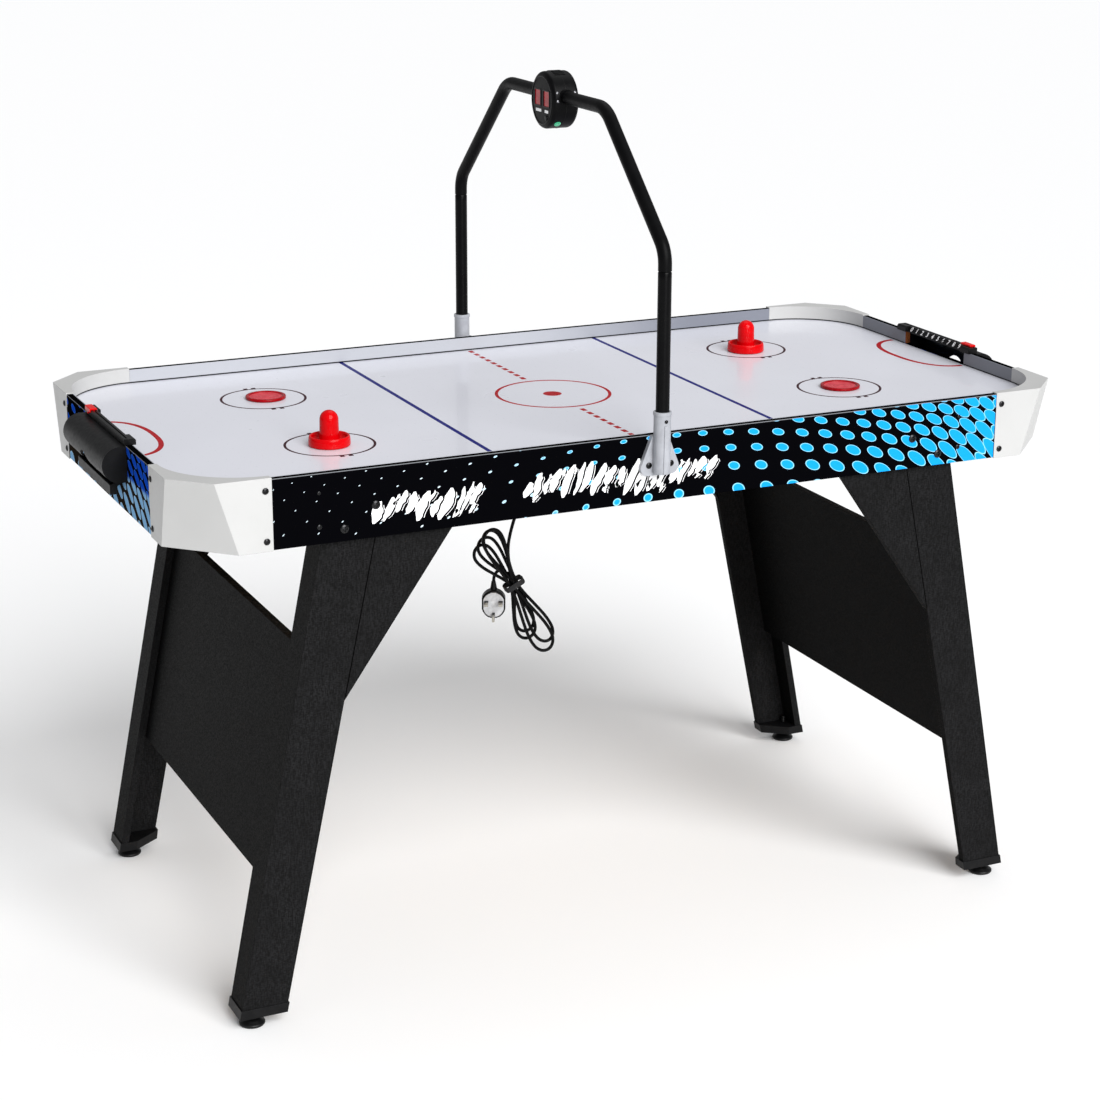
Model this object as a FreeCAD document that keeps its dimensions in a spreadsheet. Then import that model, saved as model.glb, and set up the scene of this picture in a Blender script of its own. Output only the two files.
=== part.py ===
import FreeCAD, Part
import math
import os
import re

import Sketcher
from FreeCAD import Placement, Rotation, Vector

# Air hockey table, 54 inch class, in millimetres. +X runs along the table, +Y across it, +Z up.
# The origin is on the floor under the middle of the table. "left" is -X, "front" is -Y.

doc = FreeCAD.newDocument("AirHockeyTable")

SIZES = {
    # table top
    "field_length": 1346,
    "field_width": 658,
    "field_top": 763,
    "field_board": 5,
    "liner": 1.5,
    "apron_board": 9,
    "apron_bottom": 687.6,
    "apron_top": 783.6,
    "side_apron_length": 1200,
    "end_apron_length": 510,
    "corner_radius": 115,
    "cap_wall": 1.5,
    "cap_top_wall": 2,
    "cap_drop": 1,
    "cap_cut_top": 50,
    "cap_cut_bottom": 80,
    # air chamber under the field
    "batten_width": 18,
    "field_corner_cut": 48,
    "chamber_length": 1260,
    "chamber_width": 636,
    "chamber_floor": 709,
    "chamber_floor_board": 3,
    "cross_batten_x": 300,
    "outlet_radius": 45,
    # blower
    "blower_radius": 72,
    "blower_wall": 3,
    "blower_bottom": 645,
    "blower_flange": 160,
    "intake_radius": 42,
    "motor_radius": 22,
    "motor_bottom": 676,
    "shaft_radius": 3,
    "shaft_play": 0.05,
    "impeller_bottom": 652,
    "impeller_height": 18,
    "impeller_radius": 58,
    # goals
    "slot_half": 85,
    "bar_half": 103,
    "bar_block": 25,
    "bar_top": 793,
    "bar_overhang": 0.5,
    "bar_lip": 3.5,
    "bar_chamfer": 2.5,
    "bar_outside": 12.5,
    "track_half": 99,
    "track_at": 7,
    "track_depth": 4.5,
    "track_width": 2,
    "slider_park": 82,
    "slider_length": 26,
    "slider_rise": 3,
    "slider_skirt": 1.5,
    "slider_gap": 0.3,
    "hood_half": 104,
    "hood_radius": 25,
    "hood_top": 783,
    "hood_wall": 2,
    "hood_skirt": 741,
    "hood_straight": 9.5,
    "notch_radius": 27,
    "notch_top": 756,
    "tray_half": 84,
    "tray_depth": 20,
    "tray_wall": 2,
    "tray_bottom": 712,
    "tray_lip": 726,
    "tray_knee": 723.5,
    "tray_back": 727.5,
    "gutter_width": 5.5,
    # legs
    "leg_board": 12,
    "leg_bottom": 20,
    "leg_top": 756,
    "leg_outer_x": 489.6,
    "leg_outer_slope": 0.2,
    "leg_inner_x": 413.4,
    "leg_inner_slope": 0.215,
    "leg_side_depth": 50,
    "leg_side_top": 700,
    "wing_foot_z": 461,
    "wing_top_x": 253,
    "panel_low": 206,
    "panel_high": 530,
    "end_cap_wall": 1.5,
    "end_cap_bottom": 18,
    "end_cap_top": 32,
    "end_cap_grip": 4,
    "end_cap_gap": 8,
    "end_cap_rim": 18,
    "foot_x": 601,
    "foot_y": 310,
    "foot_radius": 18.25,
    "stem_radius": 4,
    # overhead scorer
    "socket_radius": 12,
    "socket_top": 818,
    "socket_floor": 738,
    "bracket_plate": 7,
    "bracket_half": 29,
    "bracket_bottom": 727,
    "tube_radius": 9.5,
    "tube_wall": 1.2,
    "tube_play": 0.1,
    "tube_straight": 282,
    "tube_low_bend": 42,
    "tube_lean": 47.5,
    "tube_high_bend": 55,
    "arm_height": 1208,
    "tube_end_y": 32,
    "drum_radius": 41,
    "drum_half": 20.5,
    "drum_centre": 1201,
    "drum_round": 6,
    "drum_wall": 2,
    "window_inner": 5,
    "window_outer": 24.5,
    "window_low": 1193,
    "window_high": 1215,
    "button_gap": 0.3,
    "reset_radius": 4,
    "reset_y": 16,
    "reset_z": 1177,
    "power_radius": 5,
    "power_angle": 39,
    "power_x": 8,
    # pucks and pushers
    "puck_radius": 30,
    "pusher_radius": 29.5,
    "pusher_height": 50,
    "pusher_rim": 13,
    "grip_radius": 13.2,
    "air_film": 0.1,
    # mains cord
    "cord_diameter": 5,
    "gland_x": -60,
    "gland_tip": 612,
    "hank_half": 10,
}

sheet = doc.addObject("Spreadsheet::Sheet", "Sizes")
for row, (alias, value) in enumerate(SIZES.items(), start=1):
    sheet.set(f"A{row}", alias)
    sheet.set(f"B{row}", str(value))
    sheet.setAlias(f"B{row}", alias)
doc.recompute()

# Middle lines and edges that many pieces share, as expressions of the sheet.
HALF_X = "field_length / 2"
HALF_Y = "field_width / 2"
ARC_X = "(field_length / 2 - corner_radius)"
ARC_Y = "(field_width / 2 - corner_radius)"
APRON_IN_X = "(field_length / 2 + liner)"
APRON_IN_Y = "(field_width / 2 + liner)"
APRON_OUT_X = "(field_length / 2 + liner + apron_board)"
APRON_OUT_Y = "(field_width / 2 + liner + apron_board)"
CAP_OUT_X = "(field_length / 2 + liner + apron_board + cap_wall)"
CAP_OUT_Y = "(field_width / 2 + liner + apron_board + cap_wall)"
FIELD_UNDER = "(field_top - field_board)"
LEG_IN_Y = "(field_width / 2 + liner - leg_board)"
SOCKET_Y = "(field_width / 2 + liner + apron_board + socket_radius)"

SIDES = {"left": -1, "right": 1}
FACES = {"front": -1, "back": 1}
CORNERS = {f"{face}_{side}": (SIDES[side], FACES[face]) for face in FACES for side in SIDES}

nodes = {}
cutters = []


# ---- small tools ------------------------------------------------------------------------------

def bound(text):
    """The expression with each size's name pointing at its cell in the sheet."""
    def point(word):
        name = word.group()
        return f"Sizes.{name}" if name in SIZES else name

    return re.sub(r"[a-z][a-z_]*", point, str(text))


def number(text):
    """What an expression of the sheet comes to."""
    return float(sheet.evalExpression(bound(text)))


def times(sign, text):
    return f"{sign} * ({text})"


def span(sign, low, high):
    """The two ends of a stretch, low end first, mirrored when the sign is -1."""
    return (low, high) if sign > 0 else (f"-({high})", f"-({low})")


def bind_place(piece, x, y, z, path="Placement"):
    for axis, text in zip("xyz", (x, y, z)):
        piece.setExpression(f"{path}.Base.{axis}", bound(text))


def keep(label, piece):
    piece.Label = label
    nodes[label] = piece
    return piece


def box(name, xs, ys, zs):
    piece = doc.addObject("Part::Box", name)
    for size, (low, high) in zip(("Length", "Width", "Height"), (xs, ys, zs)):
        piece.setExpression(size, bound(f"({high}) - ({low})"))
    bind_place(piece, xs[0], ys[0], zs[0])
    return piece


TURNS = {"Z": Rotation(), "X": Rotation(Vector(0, 1, 0), 90), "Y": Rotation(Vector(1, 0, 0), -90)}


def cylinder(name, radius, length, base, axis="Z"):
    """A cylinder that starts at base and runs towards +axis."""
    piece = doc.addObject("Part::Cylinder", name)
    piece.setExpression("Radius", bound(radius))
    piece.setExpression("Height", bound(length))
    piece.Placement = Placement(Vector(), TURNS[axis])
    bind_place(piece, *base)
    return piece


def fuse(name, pieces):
    piece = doc.addObject("Part::MultiFuse", name)
    piece.Shapes = pieces
    return piece


def cut(name, base, *tools):
    piece = doc.addObject("Part::Cut", name)
    piece.Base = base
    piece.Tool = tools[0] if len(tools) == 1 else fuse(f"{name}_tools", list(tools))
    return piece


def group(label, pieces):
    """Several separate solids under one name."""
    compound = doc.addObject("Part::Compound", label)
    compound.Links = pieces
    return keep(label, compound)


# Each plane's role, and the way its normal points along the remaining axis.
PLANES = {"XY": ("XY_Plane", 1), "XZ": ("XZ_Plane", -1), "YZ": ("YZ_Plane", 1)}


def new_body(label):
    return keep(label, doc.addObject("PartDesign::Body", label))


def new_sketch(body, name, plane, at):
    role, way = PLANES[plane]
    sketch = body.newObject("Sketcher::SketchObject", name)
    origin = next(item for item in body.Origin.OriginFeatures if item.Role == role)
    sketch.AttachmentSupport = [(origin, "")]
    sketch.MapMode = "FlatFace"
    sketch.setExpression("AttachmentOffset.Base.z", bound(times(way, at)))
    return sketch


def pin_point(sketch, geometry, point, x, y):
    """Fix a point of the sketch at the place that two expressions give."""
    for kind, axis, text in (("DistanceX", -2, x), ("DistanceY", -1, y)):
        value = number(text)
        if abs(value) < 1e-9:
            sketch.addConstraint(Sketcher.Constraint("PointOnObject", geometry, point, axis))
            continue
        index = sketch.addConstraint(Sketcher.Constraint(kind, -1, 1, geometry, point, value))
        sketch.setExpression(f"Constraints[{index}]", bound(text))


def arc_centre(start, end, radius):
    """The centre of the arc from start to end; a negative radius turns clockwise."""
    half = (end - start) / 2
    reach = math.sqrt(max(radius * radius - half.Length ** 2, 0))
    side = Vector(-half.y, half.x, 0).normalize() * math.copysign(reach, radius)
    return start + half + side


def outline(body, name, plane, at, corners):
    """A closed outline. A corner is (x, y), or (x, y, radius) when an arc leads to it."""
    sketch = new_sketch(body, name, plane, at)
    places = [Vector(number(corner[0]), number(corner[1]), 0) for corner in corners]
    ends = []
    for index, corner in enumerate(corners):
        start, end = places[index - 1], places[index]
        if len(corner) == 2:
            edge = sketch.addGeometry(Part.LineSegment(start, end))
            ends.append((edge, 1, 2))
            continue
        radius = number(corner[2])
        centre = arc_centre(start, end, radius)
        first, last = (start, end) if radius > 0 else (end, start)
        angles = [math.atan2(place.y - centre.y, place.x - centre.x) for place in (first, last)]
        circle = Part.Circle(centre, Vector(0, 0, 1), abs(radius))
        edge = sketch.addGeometry(Part.ArcOfCircle(circle, *angles))
        ends.append((edge, 1, 2) if radius > 0 else (edge, 2, 1))
        rule = sketch.addConstraint(Sketcher.Constraint("Radius", edge, abs(radius)))
        sketch.setExpression(f"Constraints[{rule}]", bound(f"abs({corner[2]})"))
    for index, corner in enumerate(corners):
        edge, _, end = ends[index]
        following, start, _ = ends[(index + 1) % len(ends)]
        sketch.addConstraint(Sketcher.Constraint("Coincident", edge, end, following, start))
        pin_point(sketch, edge, end, corner[0], corner[1])
    return sketch


def pad(body, plane, corners, low, high):
    """Solid between two heights over an outline."""
    way = PLANES[plane][1]
    index = len(body.Group)
    sketch = outline(body, f"{body.Name}_outline_{index}", plane, low if way > 0 else high, corners)
    feature = body.newObject("PartDesign::Pad", f"{body.Name}_pad_{index}")
    feature.Profile = sketch
    feature.setExpression("Length", bound(f"({high}) - ({low})"))
    return feature


def pocket(body, plane, corners, low, high):
    """Cut between two heights over an outline."""
    way = PLANES[plane][1]
    index = len(body.Group)
    sketch = outline(body, f"{body.Name}_outline_{index}", plane, high if way > 0 else low, corners)
    feature = body.newObject("PartDesign::Pocket", f"{body.Name}_pocket_{index}")
    feature.Profile = sketch
    feature.setExpression("Length", bound(f"({high}) - ({low})"))
    cutters.append(feature)
    return feature


def turned(label, corners, place, axis="V_Axis"):
    """A body turned on a lathe: its half outline goes round the sketch's upright or level axis."""
    body = doc.addObject("PartDesign::Body", label)
    sketch = outline(body, f"{label}_profile", "XZ", 0, corners)
    feature = body.newObject("PartDesign::Revolution", f"{label}_turn")
    feature.Profile = sketch
    feature.ReferenceAxis = (sketch, [axis])
    feature.Angle = 360
    bind_place(body, *place)
    return body


def rectangle(xs, ys):
    return [(xs[0], ys[0]), (xs[1], ys[0]), (xs[1], ys[1]), (xs[0], ys[1])]


# ---- table top --------------------------------------------------------------------------------

def playfield():
    """The board that the pucks glide on, its corners cut off inside the corner caps."""
    body = new_body("playfield_board")
    short_x = f"({HALF_X} - field_corner_cut)"
    short_y = f"({HALF_Y} - field_corner_cut)"
    quarter = [(HALF_X, short_y), (short_x, HALF_Y)]
    corners = []
    for x_sign, y_sign in ((1, 1), (-1, 1), (-1, -1), (1, -1)):
        pair = [(times(x_sign, x), times(y_sign, y)) for x, y in quarter]
        corners += pair if x_sign == y_sign else pair[::-1]
    pad(body, "XY", corners, FIELD_UNDER, "field_top")


def side_apron(face, sign):
    body = new_body(f"side_apron_{face}")
    length = ("-side_apron_length / 2", "side_apron_length / 2")
    pad(body, "XZ", rectangle(length, ("apron_bottom", "apron_top")), *span(sign, APRON_IN_Y, APRON_OUT_Y))


def end_apron(side, sign):
    """The end board, notched from its top edge down to the field for the goal slot."""
    body = new_body(f"end_apron_{side}")
    half = "end_apron_length / 2"
    corners = [
        (f"-{half}", "apron_bottom"),
        (half, "apron_bottom"),
        (half, "apron_top"),
        ("slot_half", "apron_top"),
        ("slot_half", "field_top"),
        ("-slot_half", "field_top"),
        ("-slot_half", "apron_top"),
        (f"-{half}", "apron_top"),
    ]
    pad(body, "YZ", corners, *span(sign, APRON_IN_X, APRON_OUT_X))


def rail_liners():
    """Thin smooth strips on the inner faces of the rails, which the puck bounces off."""
    heights = ("field_top", "apron_top")
    strips = []
    for face, sign in FACES.items():
        across = span(sign, HALF_Y, APRON_IN_Y)
        strips.append(box(f"liner_{face}", (f"-{ARC_X}", ARC_X), across, heights))
    for side, sign in SIDES.items():
        for face, way in FACES.items():
            across = span(way, "slot_half", ARC_Y)
            strips.append(box(f"liner_{side}_{face}", span(sign, HALF_X, APRON_IN_X), across, heights))
    group("rail_liners", strips)


def corner_cap(corner, x_sign, y_sign):
    """Moulded corner cover: a hollow shell with a slanted outer facet and a concave inner wall."""
    def plan(body, name, level, inset, cut_off, reach):
        out_x = f"({CAP_OUT_X} - {inset})"
        out_y = f"({CAP_OUT_Y} - {inset})"
        near_x = f"({ARC_X} - {reach})"
        near_y = f"({ARC_Y} - {reach})"
        ring = [(near_x, near_y), (out_x, near_y), (out_x, f"{out_y} - {cut_off}"),
                (f"{out_x} - {cut_off}", out_y), (near_x, out_y)]
        ring = [(times(x_sign, x), times(y_sign, y)) for x, y in ring]
        return outline(body, name, "XY", level, ring)

    def shell(name, low, high, inset, low_cut, high_cut, reach):
        body = doc.addObject("PartDesign::Body", name)
        loft = body.newObject("PartDesign::AdditiveLoft", f"{name}_loft")
        loft.Profile = plan(body, f"{name}_low", low, inset, low_cut, reach)
        loft.Sections = [plan(body, f"{name}_high", high, inset, high_cut, reach)]
        loft.Ruled = True
        return body

    bottom = "(apron_bottom - cap_drop)"
    top = "(apron_top + cap_top_wall)"
    lean = f"((cap_cut_bottom - cap_cut_top) / ({top} - {bottom}))"
    thinner = "cap_wall * 0.59"
    outside = shell(f"cap_{corner}_outside", bottom, top, 0, "cap_cut_bottom", "cap_cut_top", 0)
    below = f"({bottom} - 10)"
    inside = shell(f"cap_{corner}_inside", below, "apron_top", "cap_wall",
                   f"(cap_cut_bottom + 10 * {lean} - {thinner})",
                   f"(cap_cut_top + cap_top_wall * {lean} - {thinner})", 12)
    centre = (times(x_sign, ARC_X), times(y_sign, ARC_Y))
    wall = cylinder(f"cap_{corner}_wall", "corner_radius + liner", "60", (*centre, "field_top"))
    hollow = cut(f"cap_{corner}_hollow", inside, wall)
    shell_only = cut(f"cap_{corner}_shell", outside, hollow)
    clear = cylinder(f"cap_{corner}_clear", "corner_radius", "140", (*centre, f"{bottom} - 20"))
    keep(f"corner_cap_{corner}", cut(f"cap_{corner}", shell_only, clear))


def pan_head_screw(name, place, axis, sign, head=4.4, shank=1.8, length=8):
    """A screw with its round head standing out along sign * axis from place."""
    dome_radius = head * 1.25
    dome_angle = math.degrees(math.acos(head / dome_radius))
    normal = {"X": Vector(1, 0, 0), "Y": Vector(0, 1, 0), "Z": Vector(0, 0, 1)}[axis] * sign
    turn = Rotation(Vector(0, 0, 1), normal)
    dome = doc.addObject("Part::Sphere", f"{name}_dome")
    dome.Radius = dome_radius
    dome.Angle1 = dome_angle
    dome.Angle2 = 90
    dome.Placement = Placement(normal * (-dome_radius * math.sin(math.radians(dome_angle))), turn)
    rod = doc.addObject("Part::Cylinder", f"{name}_shank")
    rod.Radius = shank
    rod.Height = length
    rod.Placement = Placement(normal * -length, turn)
    screw = fuse(name, [dome, rod])
    bind_place(screw, *place)
    return screw


CAP_SCREW_HEIGHTS = ("apron_top - 15", "apron_bottom + 13")


def pan_head_screws():
    """Two screws on each face of each corner cap, and three on each scorer bracket."""
    screws = []
    for corner, (x_sign, y_sign) in CORNERS.items():
        for level, height in enumerate(CAP_SCREW_HEIGHTS):
            name = f"screw_{corner}_{level}"
            side_place = (times(x_sign, f"{ARC_X} + 9"), times(y_sign, CAP_OUT_Y), height)
            end_place = (times(x_sign, CAP_OUT_X), times(y_sign, f"{ARC_Y} + 10"), height)
            screws.append(pan_head_screw(f"{name}_side", side_place, "Y", y_sign))
            screws.append(pan_head_screw(f"{name}_end", end_place, "X", x_sign))
    for face, sign in FACES.items():
        for x in (-17, 17):
            place = (x, times(sign, f"{APRON_OUT_Y} + bracket_plate"), "bracket_bottom + 15")
            screws.append(pan_head_screw(f"screw_bracket_{face}_{x + 17}", place, "Y", sign, length=13))
    group("pan_head_screws", screws)


# ---- air chamber ------------------------------------------------------------------------------

def chamber():
    """A ring of battens and two cross battens hold the field board above the chamber's floor."""
    floor = "(chamber_floor + chamber_floor_board)"
    heights = (floor, FIELD_UNDER)
    half = "(chamber_width / 2)"
    end = "(chamber_length / 2)"
    inner = (f"-{half} + batten_width", f"{half} - batten_width")
    battens = []
    for face, sign in FACES.items():
        across = span(sign, f"{half} - batten_width", half)
        battens.append(box(f"batten_{face}", (f"-{end}", end), across, heights))
    for side, sign in SIDES.items():
        battens.append(box(f"batten_{side}", span(sign, f"{end} - batten_width", end), inner, heights))
        along = (times(sign, "cross_batten_x") + " - batten_width / 2",
                 times(sign, "cross_batten_x") + " + batten_width / 2")
        battens.append(box(f"batten_cross_{side}", along, inner, heights))
    group("chamber_battens", battens)

    board = box("chamber_board", (f"-{end}", end), (f"-{half}", half), ("chamber_floor", floor))
    outlet = cylinder("chamber_outlet", "outlet_radius", "chamber_floor_board + 4",
                      (0, 0, "chamber_floor - 2"))
    keep("chamber_floor", cut("chamber_floor_cut", board, outlet))


def blower():
    """A fan in a round housing hangs under the chamber floor and blows up through its hole."""
    top = "chamber_floor"
    plate = box("blower_plate", ("-blower_flange / 2", "blower_flange / 2"),
                ("-blower_flange / 2", "blower_flange / 2"), (f"{top} - blower_wall", top))
    can = cylinder("blower_can", "blower_radius", f"{top} - blower_bottom", (0, 0, "blower_bottom"))
    room = cylinder("blower_room", "blower_radius - blower_wall",
                    f"{top} - blower_bottom - 2 * blower_wall", (0, 0, "blower_bottom + blower_wall"))
    outlet = cylinder("blower_outlet", "outlet_radius", "blower_wall + 4", (0, 0, f"{top} - blower_wall - 2"))
    intake = cylinder("blower_intake", "intake_radius", "blower_wall + 4", (0, 0, "blower_bottom - 2"))
    outer = fuse("blower_outer", [plate, can])
    keep("blower_housing", cut("blower_housing_cut", outer, room, outlet, intake))

    grille = cylinder("grille_disc", "intake_radius + 6", "2", (0, 0, "blower_bottom - 2"))
    slots = []
    for step in range(-4, 5):
        half = math.sqrt(38 ** 2 - (step * 8) ** 2)
        slots.append(box(f"grille_slot_{step + 4}", (step * 8 - 2, step * 8 + 2), (-half, half),
                         ("blower_bottom - 3", "blower_bottom + 1")))
    keep("blower_grille", cut("grille_cut", grille, *slots))

    can = cylinder("motor_can", "motor_radius", f"{top} - blower_wall - motor_bottom", (0, 0, "motor_bottom"))
    struts = []
    for index in range(3):
        strut = doc.addObject("Part::Box", f"motor_strut_{index}")
        strut.setExpression("Length", bound("outlet_radius + 12"))
        strut.Width = 6
        strut.setExpression("Height", bound("blower_wall"))
        turn = Rotation(Vector(0, 0, 1), 60 + 120 * index)
        strut.Placement = Placement(turn.multVec(Vector(0, -3, 0)), turn)
        strut.setExpression("Placement.Base.z", bound(f"{top} - 2 * blower_wall"))
        struts.append(strut)
    shaft_hole = cylinder("motor_shaft_hole", "shaft_radius", "20", (0, 0, "motor_bottom"))
    frame = fuse("motor_frame", [can, *struts])
    keep("blower_motor", cut("motor_cut", frame, shaft_hole))

    body = new_body("blower_impeller")
    high = "(impeller_bottom + impeller_height)"
    hub = outline(body, "impeller_hub", "XZ", 0, [
        (0, "impeller_bottom"), (14, "impeller_bottom"), (14, high), ("shaft_radius - shaft_play", high),
        ("shaft_radius - shaft_play", f"{high} + 22"), (0, f"{high} + 22")])
    turn = body.newObject("PartDesign::Revolution", "impeller_hub_turn")
    turn.Profile = hub
    turn.ReferenceAxis = (hub, ["V_Axis"])
    turn.Angle = 360
    blade = pad(body, "XY", rectangle((10, "impeller_radius"), (4, 6)), "impeller_bottom", high)
    pattern = body.newObject("PartDesign::PolarPattern", "impeller_blades")
    pattern.Originals = [blade]
    pattern.Axis = (hub, ["V_Axis"])
    pattern.Angle = 360
    pattern.Occurrences = 9
    body.Tip = pattern


# ---- goals ------------------------------------------------------------------------------------

def out(sign, distance):
    """X at a distance outside the rail's inner face at one end of the table."""
    return times(sign, f"{HALF_X} + ({distance})")


def out_span(sign, low, high):
    return span(sign, f"{HALF_X} + ({low})", f"{HALF_X} + ({high})")


def goal_bar(side, sign):
    """The bridge over the goal slot: a sloped face for the numbers, end blocks and a slider track."""
    body = new_body(f"goal_bar_{side}")
    edge = "-bar_overhang"
    profile = [
        (out(sign, edge), "apron_top"),
        (out(sign, "bar_outside"), "apron_top"),
        (out(sign, "bar_outside"), "bar_top"),
        (out(sign, "track_at - 3.5"), "bar_top"),
        (out(sign, edge), "apron_top + 1.5"),
    ]
    pad(body, "XZ", profile, "-bar_half", "bar_half")
    for way in FACES.values():
        block = [
            (out(sign, f"{edge} - bar_lip"), "apron_top"),
            (out(sign, "track_at - 2"), "apron_top"),
            (out(sign, "track_at - 2"), "bar_top"),
            (out(sign, f"{edge} - bar_lip + bar_chamfer"), "bar_top"),
            (out(sign, f"{edge} - bar_lip"), "bar_top - bar_chamfer"),
        ]
        pad(body, "XZ", block, *span(way, "bar_half - bar_block", "bar_half"))
    track = rectangle(out_span(sign, "track_at", "track_at + track_width"), ("-track_half", "track_half"))
    pocket(body, "XY", track, "bar_top - track_depth", "bar_top + 1")


def score_slider(side, sign):
    """A marker that slides in the bar's track, parked past the last number."""
    body = new_body(f"score_slider_{side}")
    park = times(sign, "-slider_park")
    low = "(bar_top + slider_gap)"
    high = "(bar_top + slider_rise)"
    key_low = "(bar_top - track_depth + slider_gap)"
    skirt_in = "(bar_outside + slider_gap)"
    skirt_out = "(bar_outside + slider_gap + slider_skirt)"
    profile = [
        (out(sign, "track_at - 3.5"), low),
        (out(sign, "track_at + slider_gap"), low),
        (out(sign, "track_at + slider_gap"), key_low),
        (out(sign, "track_at + track_width - slider_gap"), key_low),
        (out(sign, "track_at + track_width - slider_gap"), low),
        (out(sign, skirt_in), low),
        (out(sign, skirt_in), "bar_top - 3"),
        (out(sign, skirt_out), "bar_top - 3"),
        (out(sign, skirt_out), f"{high} - 1"),
        (out(sign, f"{skirt_out} - 1"), high),
        (out(sign, "track_at - 2.5"), high),
        (out(sign, "track_at - 3.5"), f"{high} - 1"),
    ]
    pad(body, "XZ", profile, f"{park} - slider_length / 2", f"{park} + slider_length / 2")
    pointer = rectangle(out_span(sign, skirt_in, skirt_out), ("bar_top - 6.5", "bar_top - 2"))
    pad(body, "XZ", pointer, f"{park} - 3", f"{park} + 3")


def goal_hood(side, sign):
    """A half-round cover outside the slot, open underneath, with a finger notch in its skirt."""
    axis_height = "(hood_top - hood_radius)"
    out_at = "(liner + apron_board)"

    def solid(name, trim, half, inner):
        radius = f"(hood_radius - {trim})"
        barrel = cylinder(f"{name}_barrel", radius, f"2 * ({half})",
                          (out(sign, f"{out_at} + hood_straight"), f"-({half})", axis_height), "Y")
        block = box(f"{name}_block", out_span(sign, f"{out_at} - {inner}", f"{out_at} + hood_straight"),
                    (f"-({half})", half), (f"{axis_height} - {radius}", f"{axis_height} + {radius}"))
        return fuse(name, [barrel, block])

    outside = solid(f"hood_{side}_outside", 0, "hood_half", 0)
    inside = solid(f"hood_{side}_inside", "hood_wall", "hood_half - hood_wall", 5)
    under = box(f"hood_{side}_under", out_span(sign, 0, 60),
                ("-hood_half + hood_wall", "hood_half - hood_wall"), ("hood_skirt - 20", "hood_skirt"))
    notch = cylinder(f"hood_{side}_notch", "notch_radius", 60,
                     (f"{out(sign, 25)} - {0 if sign > 0 else 60}", 0, "notch_top - notch_radius"), "X")
    behind = box(f"hood_{side}_behind", out_span(sign, -30, out_at), ("-hood_half - 5", "hood_half + 5"),
                 ("hood_top - 60", "hood_top + 5"))
    keep(f"goal_hood_{side}", cut(f"hood_{side}", outside, inside, under, notch, behind))


def goal_tray(side, sign):
    """A chute outside the end board that leads the puck into a gutter, where it stands on its edge."""
    back = "(liner + apron_board)"
    front = f"({back} + tray_depth)"
    gutter = f"({front} - tray_wall - gutter_width)"
    body = new_body(f"goal_tray_{side}")
    pad(body, "XZ", [
        (out(sign, back), "tray_back"),
        (out(sign, back), "tray_back + 5.5"),
        (out(sign, front), "tray_lip"),
        (out(sign, front), "tray_bottom"),
        (out(sign, f"{gutter} - tray_wall"), "tray_bottom"),
        (out(sign, f"{gutter} - tray_wall - 1.5"), "tray_knee"),
    ], "-tray_half", "tray_half")
    pocket(body, "XZ", [
        (out(sign, f"{back} + tray_wall"), "tray_back + 1.5"),
        (out(sign, f"{back} + tray_wall"), "tray_lip + 15"),
        (out(sign, f"{front} - tray_wall"), "tray_lip + 15"),
        (out(sign, f"{front} - tray_wall"), "tray_bottom + tray_wall"),
        (out(sign, gutter), "tray_bottom + tray_wall"),
        (out(sign, f"{gutter} - 1.7"), "tray_knee + 1.5"),
    ], "-tray_half + tray_wall", "tray_half - tray_wall")


# ---- legs -------------------------------------------------------------------------------------

def leg_outer(height, inset=0):
    """Distance from the middle of the table to the leg's outer edge at a height."""
    return f"(leg_outer_x + (apron_bottom - ({height})) * leg_outer_slope - ({inset}))"


def leg_inner(height, inset=0):
    return f"(leg_inner_x + (apron_bottom - ({height})) * leg_inner_slope + ({inset}))"


def slanted(x_sign, low, high, near, far):
    """A strip that follows the leg's slant, between two lines given as functions of height."""
    return [(times(x_sign, near(low)), low), (times(x_sign, far(low)), low),
            (times(x_sign, far(high)), high), (times(x_sign, near(high)), high)]


def leg(corner, x_sign, y_sign):
    """A leg of L section: a wide board along the table and a narrower one across it."""
    body = new_body(f"leg_{corner}")
    face = slanted(x_sign, "leg_bottom", "leg_top", leg_inner, leg_outer)
    pad(body, "XZ", face, *span(y_sign, LEG_IN_Y, APRON_IN_Y))
    edge = slanted(x_sign, "leg_bottom", "leg_side_top",
                   lambda level: leg_outer(level, "leg_board"), leg_outer)
    pad(body, "XZ", edge, *span(y_sign, f"{APRON_IN_Y} - leg_side_depth", LEG_IN_Y))


def leg_wing(corner, x_sign, y_sign):
    """The triangular board beside the leg that braces it against the apron."""
    body = new_body(f"leg_wing_{corner}")
    corners = [(times(x_sign, leg_inner("wing_foot_z")), "wing_foot_z"),
               (times(x_sign, leg_inner("leg_top")), "leg_top"),
               (times(x_sign, "wing_top_x"), "leg_top")]
    pad(body, "XZ", corners, *span(y_sign, LEG_IN_Y, APRON_IN_Y))


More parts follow.
